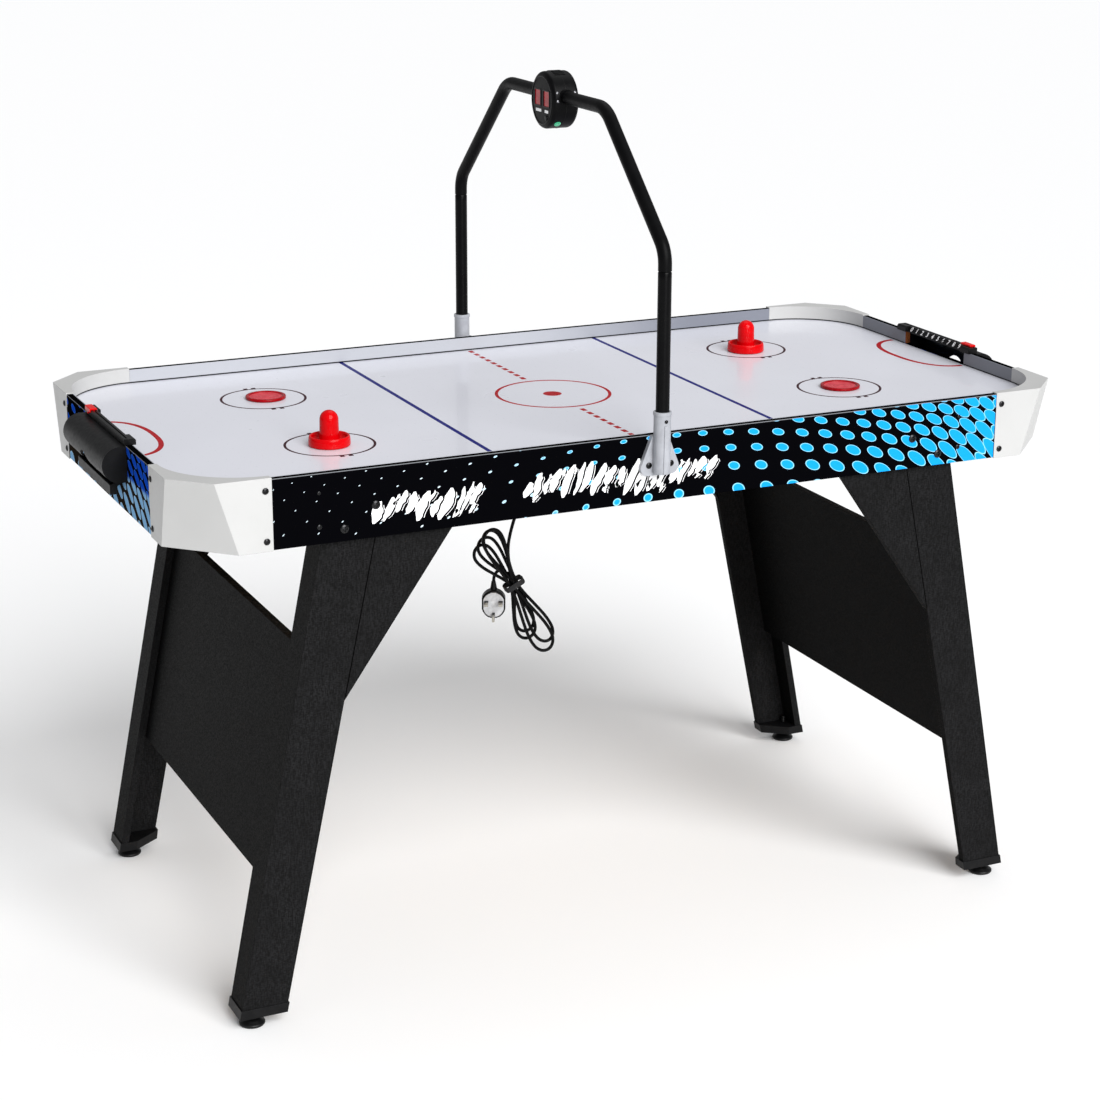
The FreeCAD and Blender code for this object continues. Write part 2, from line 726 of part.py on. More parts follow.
def leg_end_caps():
    """A moulded shoe under each leg, with sockets for its two boards and a thread for the foot."""
    shoes = []
    for corner, (x_sign, y_sign) in CORNERS.items():
        body = doc.addObject("PartDesign::Body", f"shoe_{corner}")
        wall = "end_cap_wall"
        grip = slanted(x_sign, "end_cap_bottom", "end_cap_top", lambda level: leg_inner(level, f"-{wall}"),
                       lambda level: leg_outer(level, f"-{wall}"))
        depth = span(y_sign, f"{APRON_IN_Y} - leg_side_depth - {wall}", f"{APRON_IN_Y} + {wall}")
        pad(body, "XZ", grip, *depth)
        socket_top = "end_cap_top + end_cap_grip"
        face = slanted(x_sign, "leg_bottom", socket_top, leg_inner, leg_outer)
        pocket(body, "XZ", face, *span(y_sign, LEG_IN_Y, APRON_IN_Y))
        edge = slanted(x_sign, "leg_bottom", socket_top,
                       lambda level: leg_outer(level, "leg_board"), leg_outer)
        pocket(body, "XZ", edge, *span(y_sign, f"{APRON_IN_Y} - leg_side_depth", LEG_IN_Y))
        near_y = f"({APRON_IN_Y} - leg_side_depth - end_cap_gap)"
        near_x = f"({leg_inner('leg_bottom')} - end_cap_gap)"
        hollow = [(times(x_sign, near_x), times(y_sign, near_y)),
                  (times(x_sign, f"{leg_outer('leg_bottom', 'end_cap_rim')}"), times(y_sign, near_y)),
                  (times(x_sign, near_x), times(y_sign, f"{LEG_IN_Y} - 6"))]
        pocket(body, "XY", hollow, "end_cap_bottom - 1", "end_cap_top + 1")
        hole = cylinder(f"shoe_{corner}_thread", "stem_radius + shaft_play", 30,
                        (times(x_sign, "foot_x"), times(y_sign, "foot_y"), "end_cap_bottom - 5"))
        shoes.append(cut(f"shoe_{corner}_bored", body, hole))
    group("leg_end_caps", shoes)


def leveller_foot(corner, x_sign, y_sign):
    """Round foot on a threaded stem, turned by hand to level the table."""
    keep(f"leveller_foot_{corner}", turned(f"foot_{corner}", [
        (0, 0), ("foot_radius - 1.5", 0), ("foot_radius", 1.5, 1.5), ("foot_radius", 5), (12, 9), (7, 9),
        (7, 14), ("stem_radius", 14), ("stem_radius", 42), (0, 42)],
        (times(x_sign, "foot_x"), times(y_sign, "foot_y"), 0)))


def end_panel(side, sign):
    """The slanted board that ties the two legs of one end together."""
    body = new_body(f"end_panel_{side}")
    strip = slanted(sign, "panel_low", "panel_high", lambda level: leg_outer(level, "2 * leg_board"),
                    lambda level: leg_outer(level, "leg_board"))
    pad(body, "XZ", strip, f"-{LEG_IN_Y}", LEG_IN_Y)


LEG_BOLTS = {"upper": (415.5, 732, 6), "lower": (460, 704.5, 6), "cleat": (494.5, 711, 3.5),
             "top": (494, 757, 2.5)}


def leg_bolts():
    """Round-headed bolts and smaller screws through each side apron into the legs."""
    bolts = []
    for corner, (x_sign, y_sign) in CORNERS.items():
        for name, (x, z, head) in LEG_BOLTS.items():
            deep = 20 if head > 5 else 8
            place = (x * x_sign, times(y_sign, APRON_OUT_Y), z)
            bolts.append(pan_head_screw(f"bolt_{corner}_{name}", place, "Y", y_sign, head, head / 2, deep))
    group("leg_bolts", bolts)


# ---- overhead scorer --------------------------------------------------------------------------

def scorer_bracket(face, sign):
    """A flared foot screwed to the side apron, with a socket for the tube."""
    body = doc.addObject("PartDesign::Body", f"bracket_{face}_foot")
    shape = [
        ("-socket_radius", "apron_top"),
        ("-bracket_half", "bracket_bottom + 14"),
        ("-bracket_half + 9", "bracket_bottom", 12),
        ("bracket_half - 9", "bracket_bottom"),
        ("bracket_half", "bracket_bottom + 14", 12),
        ("socket_radius", "apron_top"),
    ]
    pad(body, "XZ", shape, *span(sign, APRON_OUT_Y, f"{APRON_OUT_Y} + bracket_plate"))
    centre = times(sign, SOCKET_Y)
    socket = cylinder(f"bracket_{face}_socket", "socket_radius", "socket_top - bracket_bottom - 4",
                      (0, centre, "bracket_bottom + 4"))
    bore = cylinder(f"bracket_{face}_bore", "tube_radius + tube_play", 200, (0, centre, "socket_floor"))
    solid = fuse(f"bracket_{face}_solid", [body, socket])
    keep(f"scorer_bracket_{face}", cut(f"bracket_{face}", solid, bore))


def scorer_tube(face, sign):
    """Half of the arch: up from the bracket, leaning in, then level into the scoreboard."""
    body = new_body(f"scorer_tube_{face}")
    path = new_sketch(body, f"tube_{face}_path", "YZ", 0)
    foot = Vector(number(SOCKET_Y), number("socket_floor"), 0)
    lean = math.radians(number("tube_lean"))
    low_bend, high_bend = number("tube_low_bend"), number("tube_high_bend")
    straight = number("tube_straight")
    up = Vector(0, 1, 0)
    outward = Vector(math.cos(lean), math.sin(lean), 0)
    aslant = Vector(-math.sin(lean), math.cos(lean), 0)
    low_start = foot + up * straight
    low_centre = low_start + Vector(-low_bend, 0, 0)
    low_end = low_centre + outward * low_bend
    arm = number("arm_height")
    rise = arm - high_bend + high_bend * math.sin(lean) - low_end.y
    high_start = low_end + aslant * (rise / aslant.y)
    high_centre = high_start - outward * high_bend
    high_end = high_centre + up * high_bend
    tip = Vector(number("tube_end_y"), arm, 0)

    def side(place):
        return Vector(place.x * sign, place.y, 0)

    def arc(start, end, centre, radius):
        first, last = (start, end) if sign > 0 else (end, start)
        angles = [math.atan2(place.y - centre.y, (place.x - centre.x) * sign) for place in (first, last)]
        return Part.ArcOfCircle(Part.Circle(side(centre), Vector(0, 0, 1), radius), *angles)

    leg_line = path.addGeometry(Part.LineSegment(side(foot), side(low_start)))
    low_arc = path.addGeometry(arc(low_start, low_end, low_centre, low_bend))
    slant_line = path.addGeometry(Part.LineSegment(side(low_end), side(high_start)))
    high_arc = path.addGeometry(arc(high_start, high_end, high_centre, high_bend))
    arm_line = path.addGeometry(Part.LineSegment(side(high_end), side(tip)))
    enter, leave = (1, 2) if sign > 0 else (2, 1)
    rules = [
        ("Tangent", leg_line, 2, low_arc, enter),
        ("Tangent", low_arc, leave, slant_line, 1),
        ("Tangent", slant_line, 2, high_arc, enter),
        ("Tangent", high_arc, leave, arm_line, 1),
        ("Vertical", leg_line),
        ("Horizontal", arm_line),
    ]
    for rule in rules:
        path.addConstraint(Sketcher.Constraint(*rule))
    pin_point(path, leg_line, 1, times(sign, SOCKET_Y), "socket_floor")
    pin_point(path, arm_line, 2, times(sign, "tube_end_y"), "arm_height")
    for kind, edge, size in (("Radius", low_arc, "tube_low_bend"), ("Radius", high_arc, "tube_high_bend"),
                             ("Distance", leg_line, "tube_straight")):
        index = path.addConstraint(Sketcher.Constraint(kind, edge, number(size)))
        path.setExpression(f"Constraints[{index}]", bound(size))

    ring = new_sketch(body, f"tube_{face}_ring", "XY", "socket_floor")
    for size in ("tube_radius", "tube_radius - tube_wall"):
        edge = ring.addGeometry(Part.Circle(Vector(0, foot.x * sign, 0), Vector(0, 0, 1), number(size)))
        pin_point(ring, edge, 3, 0, times(sign, SOCKET_Y))
        index = ring.addConstraint(Sketcher.Constraint("Radius", edge, number(size)))
        ring.setExpression(f"Constraints[{index}]", bound(size))
    pipe = body.newObject("PartDesign::AdditivePipe", f"tube_{face}_pipe")
    pipe.Profile = ring
    pipe.Spine = path


def scoreboard():
    """Two shells clamp the tubes; each face has two number windows lit from a board behind."""
    centre = (0, 0, "drum_centre")
    window_heights = ("window_low", "window_high")
    tube_room = cylinder("drum_tube_room", "tube_radius + tube_play", "3 * drum_radius",
                         (0, "-1.5 * drum_radius", "arm_height"), "Y")
    for side, sign in SIDES.items():
        skin = turned(f"drum_{side}_skin", [
            (0, 0),
            (0, "drum_radius - drum_wall"),
            (0, "drum_radius"),
            (times(sign, "drum_half - drum_round"), "drum_radius"),
            (times(sign, "drum_half"), "drum_radius - drum_round", times(-sign, "drum_round")),
            (times(sign, "drum_half"), 0)], centre, "H_Axis")
        hollow = cylinder(f"drum_{side}_hollow", "drum_radius - drum_wall - 1", "drum_half - drum_wall",
                          (0 if sign > 0 else "-drum_half + drum_wall", 0, "drum_centre"), "X")
        openings = [hollow, tube_room]
        for way in FACES.values():
            openings.append(box(f"drum_{side}_window_{way + 1}", span(sign, "drum_half - 4", "drum_half + 2"),
                                span(way, "window_inner", "window_outer"), window_heights))
        if side == "left":
            openings.append(cylinder("drum_reset_hole", "reset_radius + button_gap", 8,
                                     ("-drum_half - 4", "-reset_y", "reset_z"), "X"))
            openings.append(power_cylinder("drum_power_hole", "power_radius + button_gap", 30, 12))
        keep(f"scoreboard_shell_{side}", cut(f"drum_{side}", skin, *openings))

    windows = []
    boards = []
    for side, sign in SIDES.items():
        for way in FACES.values():
            windows.append(box(f"display_{side}_{way + 1}", span(sign, "drum_half - 6", "drum_half - 0.5"),
                               span(way, "window_inner", "window_outer"), window_heights))
        boards.append(box(f"circuit_{side}", span(sign, "drum_half - 7.6", "drum_half - 6"), (-27, 27),
                          ("window_low - 12", "window_high + 3")))
    group("display_windows", windows)
    group("scoreboard_circuit_boards", boards)

    button = new_body("reset_button")
    circle_pad(button, "YZ", "reset_radius", ("-reset_y", "reset_z"), "-drum_half - 1.8", "-drum_half + 3.5")
    keep("power_button", power_cylinder("power_button_rod", "power_radius", "drum_radius - 6", 7.2))


def circle_pad(body, plane, radius, place, low, high):
    sketch = new_sketch(body, f"{body.Name}_circle", plane, low)
    edge = sketch.addGeometry(Part.Circle(Vector(number(place[0]), number(place[1]), 0), Vector(0, 0, 1),
                                          number(radius)))
    pin_point(sketch, edge, 3, *place)
    index = sketch.addConstraint(Sketcher.Constraint("Radius", edge, number(radius)))
    sketch.setExpression(f"Constraints[{index}]", bound(radius))
    feature = body.newObject("PartDesign::Pad", f"{body.Name}_pad")
    feature.Profile = sketch
    feature.setExpression("Length", bound(f"({high}) - ({low})"))


def power_cylinder(name, radius, start, length):
    """A cylinder along the power button's line, which points down and forwards from the drum's middle."""
    piece = doc.addObject("Part::Cylinder", name)
    piece.setExpression("Radius", bound(radius))
    piece.Height = length
    turn = number("power_angle")
    way = Vector(0, -math.sin(math.radians(turn)), -math.cos(math.radians(turn)))
    reach = number(start)
    piece.Placement = Placement(Vector(-number("power_x"), 0, number("drum_centre")) + way * reach,
                                Rotation(Vector(0, 0, 1), way))
    return piece


# ---- pucks and pushers ------------------------------------------------------------------------

PUCKS = {"left": (-400, 155), "right": (417, -134)}
PUSHERS = {"left": (-406, -138), "right": (408, 143)}


def puck(side):
    x, y = PUCKS[side]
    keep(f"puck_{side}", turned(f"puck_turn_{side}", [
        (0, 0), ("puck_radius - 0.8", 0), ("puck_radius", 0.8), ("puck_radius", 4.2),
        ("puck_radius - 0.8", 5), ("puck_radius - 4.5", 5), ("puck_radius - 5.5", 4.2), (0, 4.2)],
        (x, y, "field_top + air_film")))


def pusher(side):
    """A dished base with a raised rim and a round grip that ends in a dome."""
    x, y = PUSHERS[side]
    keep(f"pusher_{side}", turned(f"pusher_turn_{side}", [
        (0, 0), ("pusher_radius - 1.5", 0), ("pusher_radius", 1.5, 1.5),
        ("pusher_radius - 0.8", "pusher_rim"), ("pusher_radius - 4.4", "pusher_rim", 1.85),
        (24, 6), ("grip_radius + 1", 5),
        ("grip_radius", "pusher_height - grip_radius"), (0, "pusher_height", "grip_radius")],
        (x, y, "field_top + air_film")))


# ---- mains cord -------------------------------------------------------------------------------

# The free stretch of the cord, from the gland down to the hank.
CORD_ROUTE = [
    (-60, 0, 612),
    (-60, 0, 590),
    (-69, 1, 564),
    (-75.5, 2, 533),
    (-73, 1, 503),
    (-66, 0, 480),
]

# The outer shape of the hank, seen from the front: two lobes that meet where the tie holds them.
HANK_OUTLINE = [
    (-88, 478), (-112, 510), (-129, 532), (-125, 556), (-117, 571), (-97, 570), (-82, 550), (-74, 515),
    (-58, 487), (-42, 455), (-14, 430), (1, 400), (0, 372), (-10, 360), (-28, 364), (-47, 386),
    (-62, 398), (-72, 422), (-78, 455),
]

PLUG_TURN = 25
PLUG_PLACE = (-90, 22, 435)
PLUG_THICK = 19
# Each pin's middle on the plug's face, then its width, height and length.
PLUG_PINS = [(-11, 6, 6.3, 4, 17.7), (11, 6, 6.3, 4, 17.7), (0, -15, 4, 8, 22.7)]


def gland():
    keep("cord_gland", turned("gland_turn", [
        (0, "gland_tip"), ("cord_diameter / 2 + 1", "gland_tip"), (6.5, "blower_bottom - 4"),
        (10, "blower_bottom - 4"), (10, "blower_bottom"), (0, "blower_bottom")], ("gland_x", 0, 0)))


def rounded_route(points):
    """Straight runs joined by tangent arcs, each as large as its two runs allow."""
    places = [Vector(*point) for point in points]
    edges = []
    start = places[0]
    length = 0
    for before, corner, after in zip(places, places[1:], places[2:]):
        arrive = (corner - before)
        leave = (after - corner)
        half_turn = arrive.getAngle(leave) / 2
        reach = 0.45 * min(arrive.Length, leave.Length)
        radius = reach / math.tan(half_turn)
        arrive.normalize()
        leave.normalize()
        first = corner - arrive * reach
        last = corner + leave * reach
        towards = (leave - arrive).normalize()
        middle = corner + towards * (radius / math.cos(half_turn) - radius)
        edges.append(Part.LineSegment(start, first).toShape())
        edges.append(Part.Arc(first, middle, last).toShape())
        length += (first - start).Length + radius * 2 * half_turn
        print(f"cord bend radius {radius:.1f} mm")
        start = last
    edges.append(Part.LineSegment(start, places[-1]).toShape())
    length += (places[-1] - start).Length
    return Part.Wire(edges), length


def cord_lead():
    """The free stretch of cord as a plain tube along its route."""
    path, length = rounded_route(CORD_ROUTE)
    radius = number("cord_diameter") / 2
    direction = (Vector(*CORD_ROUTE[1]) - Vector(*CORD_ROUTE[0])).normalize()
    ring = Part.Wire([Part.Circle(Vector(*CORD_ROUTE[0]), direction, radius).toShape()])
    tube = path.makePipeShell([ring], True, False)
    lead = keep("cord_lead", doc.addObject("Part::Feature", "cord_lead"))
    lead.Shape = tube
    share = tube.Volume / (math.pi * radius ** 2 * length)
    print(f"cord lead {length:.1f} mm long, volume share {share:.4f}")


def cord_hank():
    body = new_body("cord_hank")
    pad(body, "XZ", HANK_OUTLINE, "-hank_half", "hank_half")


def plug():
    """A moulded mains plug that hangs beside the hank, its pins facing the front of the table."""
    place = Placement(Vector(*PLUG_PLACE), Rotation(Vector(0, 0, 1), -PLUG_TURN))
    body = new_body("plug_body")
    shape = [
        (-18, -6),
        (-8, -21, 20),
        (8, -21),
        (18, -6, 20),
        (18, 12),
        (12, 20, 11),
        (5, 24),
        (-5, 24),
        (-12, 20),
        (-18, 12, 11),
    ]
    pad(body, "XZ", shape, 0, PLUG_THICK)
    body.Placement = place
    pins = []
    for index, (x, z, wide, tall, long) in enumerate(PLUG_PINS):
        pin = doc.addObject("Part::Box", f"plug_pin_{index}")
        pin.Length = wide
        pin.Width = long
        pin.Height = tall
        pin.Placement = place.multiply(Placement(Vector(x - wide / 2, -long, z - tall / 2), Rotation()))
        pins.append(pin)
    group("plug_pins", pins)


# ---- build, check, write ----------------------------------------------------------------------

playfield()
for face, sign in FACES.items():
    side_apron(face, sign)
for side, sign in SIDES.items():
    end_apron(side, sign)
rail_liners()
for corner, (x_sign, y_sign) in CORNERS.items():
    corner_cap(corner, x_sign, y_sign)
pan_head_screws()
chamber()
blower()
for side, sign in SIDES.items():
    goal_bar(side, sign)
    score_slider(side, sign)
    goal_hood(side, sign)
    goal_tray(side, sign)
for corner, (x_sign, y_sign) in CORNERS.items():
    leg(corner, x_sign, y_sign)
    leg_wing(corner, x_sign, y_sign)
    leveller_foot(corner, x_sign, y_sign)
leg_end_caps()
for side, sign in SIDES.items():
    end_panel(side, sign)
leg_bolts()
for face, sign in FACES.items():
    scorer_bracket(face, sign)
    scorer_tube(face, sign)
scoreboard()
for side in SIDES:
    puck(side)
    pusher(side)
gland()
cord_lead()
cord_hank()
plug()

doc.recompute()

for item in doc.Objects:
    if "Invalid" in item.State or "Error" in item.State:
        raise RuntimeError(f"{item.Name} failed: {item.State}")
for feature in cutters:
    if feature.Shape.Volume >= feature.BaseFeature.Shape.Volume - 1e-3:
        raise RuntimeError(f"{feature.Name} cuts nothing")
for label, piece in nodes.items():
    if piece.Shape.isNull() or not piece.Shape.isValid():
        raise RuntimeError(f"{label} has no valid shape")

os.makedirs("parts", exist_ok=True)
for label, piece in nodes.items():
    piece.Shape.exportStep(f"parts/{label}.step")
print(f"{len(nodes)} nodes written")
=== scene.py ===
import math
import random

import bmesh
import bpy
from mathutils import Matrix, Vector


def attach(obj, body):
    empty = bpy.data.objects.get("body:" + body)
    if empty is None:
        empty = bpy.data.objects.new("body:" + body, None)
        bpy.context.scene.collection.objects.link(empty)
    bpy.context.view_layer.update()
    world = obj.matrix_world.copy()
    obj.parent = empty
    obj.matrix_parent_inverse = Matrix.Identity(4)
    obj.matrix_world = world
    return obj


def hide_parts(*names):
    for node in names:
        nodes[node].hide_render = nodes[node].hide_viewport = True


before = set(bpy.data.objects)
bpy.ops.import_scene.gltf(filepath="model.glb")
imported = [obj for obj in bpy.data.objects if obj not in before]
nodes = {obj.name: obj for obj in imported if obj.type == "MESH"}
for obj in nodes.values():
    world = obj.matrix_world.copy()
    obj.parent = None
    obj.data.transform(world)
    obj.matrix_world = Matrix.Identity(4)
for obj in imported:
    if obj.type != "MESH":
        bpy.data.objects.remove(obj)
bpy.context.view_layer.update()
scene = bpy.context.scene

# Lengths in this file are millimetres unless a name says otherwise; Blender works in metres.
MM = 0.001

# Sizes of the table that more than one piece needs.
WALL_X, WALL_Y = 673.0, 329.0
APRON_OUT = 10.5
FIELD_TOP, APRON_TOP, APRON_LOW = 763.0, 783.6, 687.6
CAP_OUT = 12.0
BRACKET_Y = WALL_Y + APRON_OUT + 7
SOCKET_Y = 351.5
DRUM_Z, DRUM_RADIUS, DRUM_HALF = 1201.0, 41.0, 20.5
TUBE_RADIUS, TUBE_Z = 9.5, 1208.0
BAR_TOP = 793.0

SIDES = {"left": -1, "right": 1}
FACES = {"front": -1, "back": 1}
CORNERS = {f"{face}_{side}": (SIDES[side], FACES[face]) for face in FACES for side in SIDES}


# ---- meshes ----

def turn_to(direction, roll_hint=Vector((0, 0, 1))):
    """Rotation that takes +Z to a direction, and +Y as near as it can to the hint."""
    z_axis = Vector(direction).normalized()
    y_axis = roll_hint - z_axis * roll_hint.dot(z_axis)
    if y_axis.length < 1e-6:
        y_axis = Vector((0, 1, 0)) - z_axis * z_axis.y
    y_axis.normalize()
    x_axis = y_axis.cross(z_axis)
    return Matrix((x_axis, y_axis, z_axis)).transposed()


def add_object(name, data):
    thing = bpy.data.objects.new(name, data)
    scene.collection.objects.link(thing)
    return thing


def circle(radius, sides):
    """Points of a whole circle."""
    angles = [2 * math.pi * k / sides for k in range(sides)]
    return [(radius * math.cos(a), radius * math.sin(a)) for a in angles]


class Shape:
    """Collects the faces of one piece in millimetres, then makes the object."""

    def __init__(self):
        self.points = []
        self.faces = []

    def add(self, points, faces):
        start = len(self.points)
        self.points += [Vector(p) for p in points]
        self.faces += [[start + i for i in face] for face in faces]
        return self

    def lathe(self, profile, place, axis=(0, 0, 1), sides=64):
        """A half outline of (radius, height) turned about an axis through place."""
        turn = turn_to(axis)
        points, rings, faces = [], [], []
        for radius, height in profile:
            if radius < 1e-6:
                rings.append([len(points)] * sides)
                points.append((0, 0, height))
                continue
            rings.append(list(range(len(points), len(points) + sides)))
            points += [(a, b, height) for a, b in circle(radius, sides)]
        for low, high in zip(rings, rings[1:]):
            for k in range(sides):
                ring = [low[k], low[(k + 1) % sides], high[(k + 1) % sides], high[k]]
                face = [i for n, i in enumerate(ring) if i not in ring[:n]]
                if len(face) > 2:
                    faces.append(face)
        moved = [turn @ Vector(p) + Vector(place) for p in points]
        return self.add(moved, faces)

    def loft(self, rings, joined=False):
        """Rings of as many points each, closed at both ends or with the last one joined to the first."""
        sides = len(rings[0])
        starts = [k * sides for k in range(len(rings))]
        nexts = starts[1:]
        faces = []
        if joined:
            nexts.append(0)
        else:
            faces += [list(range(sides))[::-1], [starts[-1] + k for k in range(sides)]]
        for low, high in zip(starts, nexts):
            for k in range(sides):
                n = (k + 1) % sides
                faces.append([low + k, low + n, high + n, high + k])
        return self.add([p for ring in rings for p in ring], faces)

    def prism(self, outline, low, high, lift):
        """A flat outline given thickness; lift turns (a, b, height) into a place."""
        area = sum(a[0] * b[1] - b[0] * a[1] for a, b in zip(outline, outline[1:] + outline[:1]))
        if area < 0:
            outline = outline[::-1]
        return self.loft([[lift(a, b, level) for a, b in outline] for level in (low, high)])

    def band(self, outer, inner, low, high, lift):
        """A flat closed band between two outlines with the same number of points."""
        rings = ((outer, low), (outer, high), (inner, high), (inner, low))
        return self.loft([[lift(a, b, level) for a, b in line] for line, level in rings], joined=True)

    def sweep(self, path, radii, sides):
        """A round tube along a path of places, with one radius for each."""
        ways = [(path[min(k + 1, len(path) - 1)] - path[max(k - 1, 0)]).normalized()
                for k in range(len(path))]
        side = ways[0].orthogonal().normalized()
        rings = []
        for place, way, radius in zip(path, ways, radii):
            side = (side - way * side.dot(way)).normalized()
            other = way.cross(side)
            rings.append([place + side * a + other * b for a, b in circle(radius, sides)])
        return self.loft(rings)

    def make(self, name, material, slot, body="table", replaces=(), sharp=32, bevel=0.0, steps=2):
        mesh = bpy.data.meshes.new(name)
        mesh.from_pydata([p * MM for p in self.points], [], self.faces)
        shell = bmesh.new()
        shell.from_mesh(mesh)
        bmesh.ops.remove_doubles(shell, verts=shell.verts, dist=1e-7)
        bmesh.ops.recalc_face_normals(shell, faces=shell.faces)
        for face in shell.faces:
            face.smooth = True
        for edge in shell.edges:
            edge.smooth = len(edge.link_faces) == 2 and edge.calc_face_angle() < math.radians(sharp)
        shell.to_mesh(mesh)
        shell.free()
        piece = add_object(name, mesh)
        mesh.materials.append(MATERIALS[material])
        if bevel:
            add_bevel(piece, bevel, steps)
        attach(piece, body)
        if replaces:
            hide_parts(*replaces)
        return piece


def add_bevel(piece, width, steps):
    bevel = piece.modifiers.new("rounded edges", "BEVEL")
    bevel.width = width * MM
    bevel.segments = steps
    bevel.limit_method = "ANGLE"
    bevel.angle_limit = math.radians(30)
    bevel.harden_normals = True


def make_cleaner():
    """Node group that joins a CAD mesh's split corners and sets which edges look sharp."""
    group = bpy.data.node_groups.new("clean_cad", "GeometryNodeTree")
    group.interface.new_socket("Geometry", in_out="INPUT", socket_type="NodeSocketGeometry")
    group.interface.new_socket("Geometry", in_out="OUTPUT", socket_type="NodeSocketGeometry")
    start = group.nodes.new("NodeGroupInput")
    end = group.nodes.new("NodeGroupOutput")
    drop = group.nodes.new("GeometryNodeRemoveAttribute")
    drop.inputs["Name"].default_value = "custom_normal"
    join = group.nodes.new("GeometryNodeMergeByDistance")
    join.inputs["Distance"].default_value = 1e-6
    round_faces = group.nodes.new("GeometryNodeSetShadeSmooth")
    round_faces.domain = "FACE"
    round_faces.inputs["Shade Smooth"].default_value = True
    angle = group.nodes.new("GeometryNodeInputMeshEdgeAngle")
    shallow = group.nodes.new("FunctionNodeCompare")
    shallow.operation = "LESS_THAN"
    shallow.inputs[1].default_value = math.radians(24)
    edges = group.nodes.new("GeometryNodeSetShadeSmooth")
    edges.domain = "EDGE"
    for source, target in ((start.outputs[0], drop.inputs["Geometry"]),
                           (drop.outputs[0], join.inputs["Geometry"]),
                           (join.outputs[0], round_faces.inputs["Geometry"]),
                           (round_faces.outputs[0], edges.inputs["Geometry"]),
                           (angle.outputs[0], shallow.inputs[0]),
                           (shallow.outputs[0], edges.inputs["Shade Smooth"]),
                           (edges.outputs[0], end.inputs[0])):
        group.links.new(source, target)
    return group


cleaner = make_cleaner()


def finish_node(name, material, bevel=0.0, steps=2):
    """Keeps a CAD piece, with its edges softened and its own material."""
    piece = nodes[name]
    piece.data.materials.clear()
    piece.data.materials.append(MATERIALS[material])
    clean = piece.modifiers.new("joined corners", "NODES")
    clean.node_group = cleaner
    flat = piece.modifiers.new("flat faces", "DECIMATE")
    flat.decimate_type = "DISSOLVE"
    flat.angle_limit = math.radians(0.3)
    if bevel:
        add_bevel(piece, bevel, steps)


def arc(centre, radius, start, end, count):
    """Points of an arc, angles in degrees."""
    angles = [math.radians(start + (end - start) * k / (count - 1)) for k in range(count)]
    return [(centre[0] + radius * math.cos(a), centre[1] + radius * math.sin(a)) for a in angles]


# ---- materials ----

def linear(red, green, blue):
    """A display colour out of 255 as the shader wants it."""
    def one(value):
        value /= 255
        return value / 12.92 if value <= 0.04045 else ((value + 0.055) / 1.055) ** 2.4
    return (one(red), one(green), one(blue), 1.0)


class Flow:
    """A number that flows through a material's nodes, with the usual arithmetic."""

    def __init__(self, tree, source):
        self.tree = tree
        self.source = source

    def math(self, kind, *others):
        node = self.tree.nodes.new("ShaderNodeMath")
        node.operation = kind
        for socket, value in zip(node.inputs, (self, *others)):
            if isinstance(value, Flow):
                self.tree.links.new(value.source, socket)
            else:
                socket.default_value = value
        return Flow(self.tree, node.outputs[0])

    def __add__(self, other):
        return self.math("ADD", other)

    def __sub__(self, other):
        return self.math("SUBTRACT", other)

    def __mul__(self, other):
        return self.math("MULTIPLY", other)

    def __truediv__(self, other):
        return self.math("DIVIDE", other)

    def __neg__(self):
        return self * -1.0

    def step(self, low, high):
        """0 below low, 1 above high, smooth between them."""
        node = self.tree.nodes.new("ShaderNodeMapRange")
        node.interpolation_type = "SMOOTHSTEP"
        self.tree.links.new(self.source, node.inputs[0])
        node.inputs[1].default_value = low
        node.inputs[2].default_value = high
        return Flow(self.tree, node.outputs[0])

    def from_nearest(self):
        """The signed distance to the nearest whole number."""
        return self - self.math("ROUND")


MATERIALS = {}


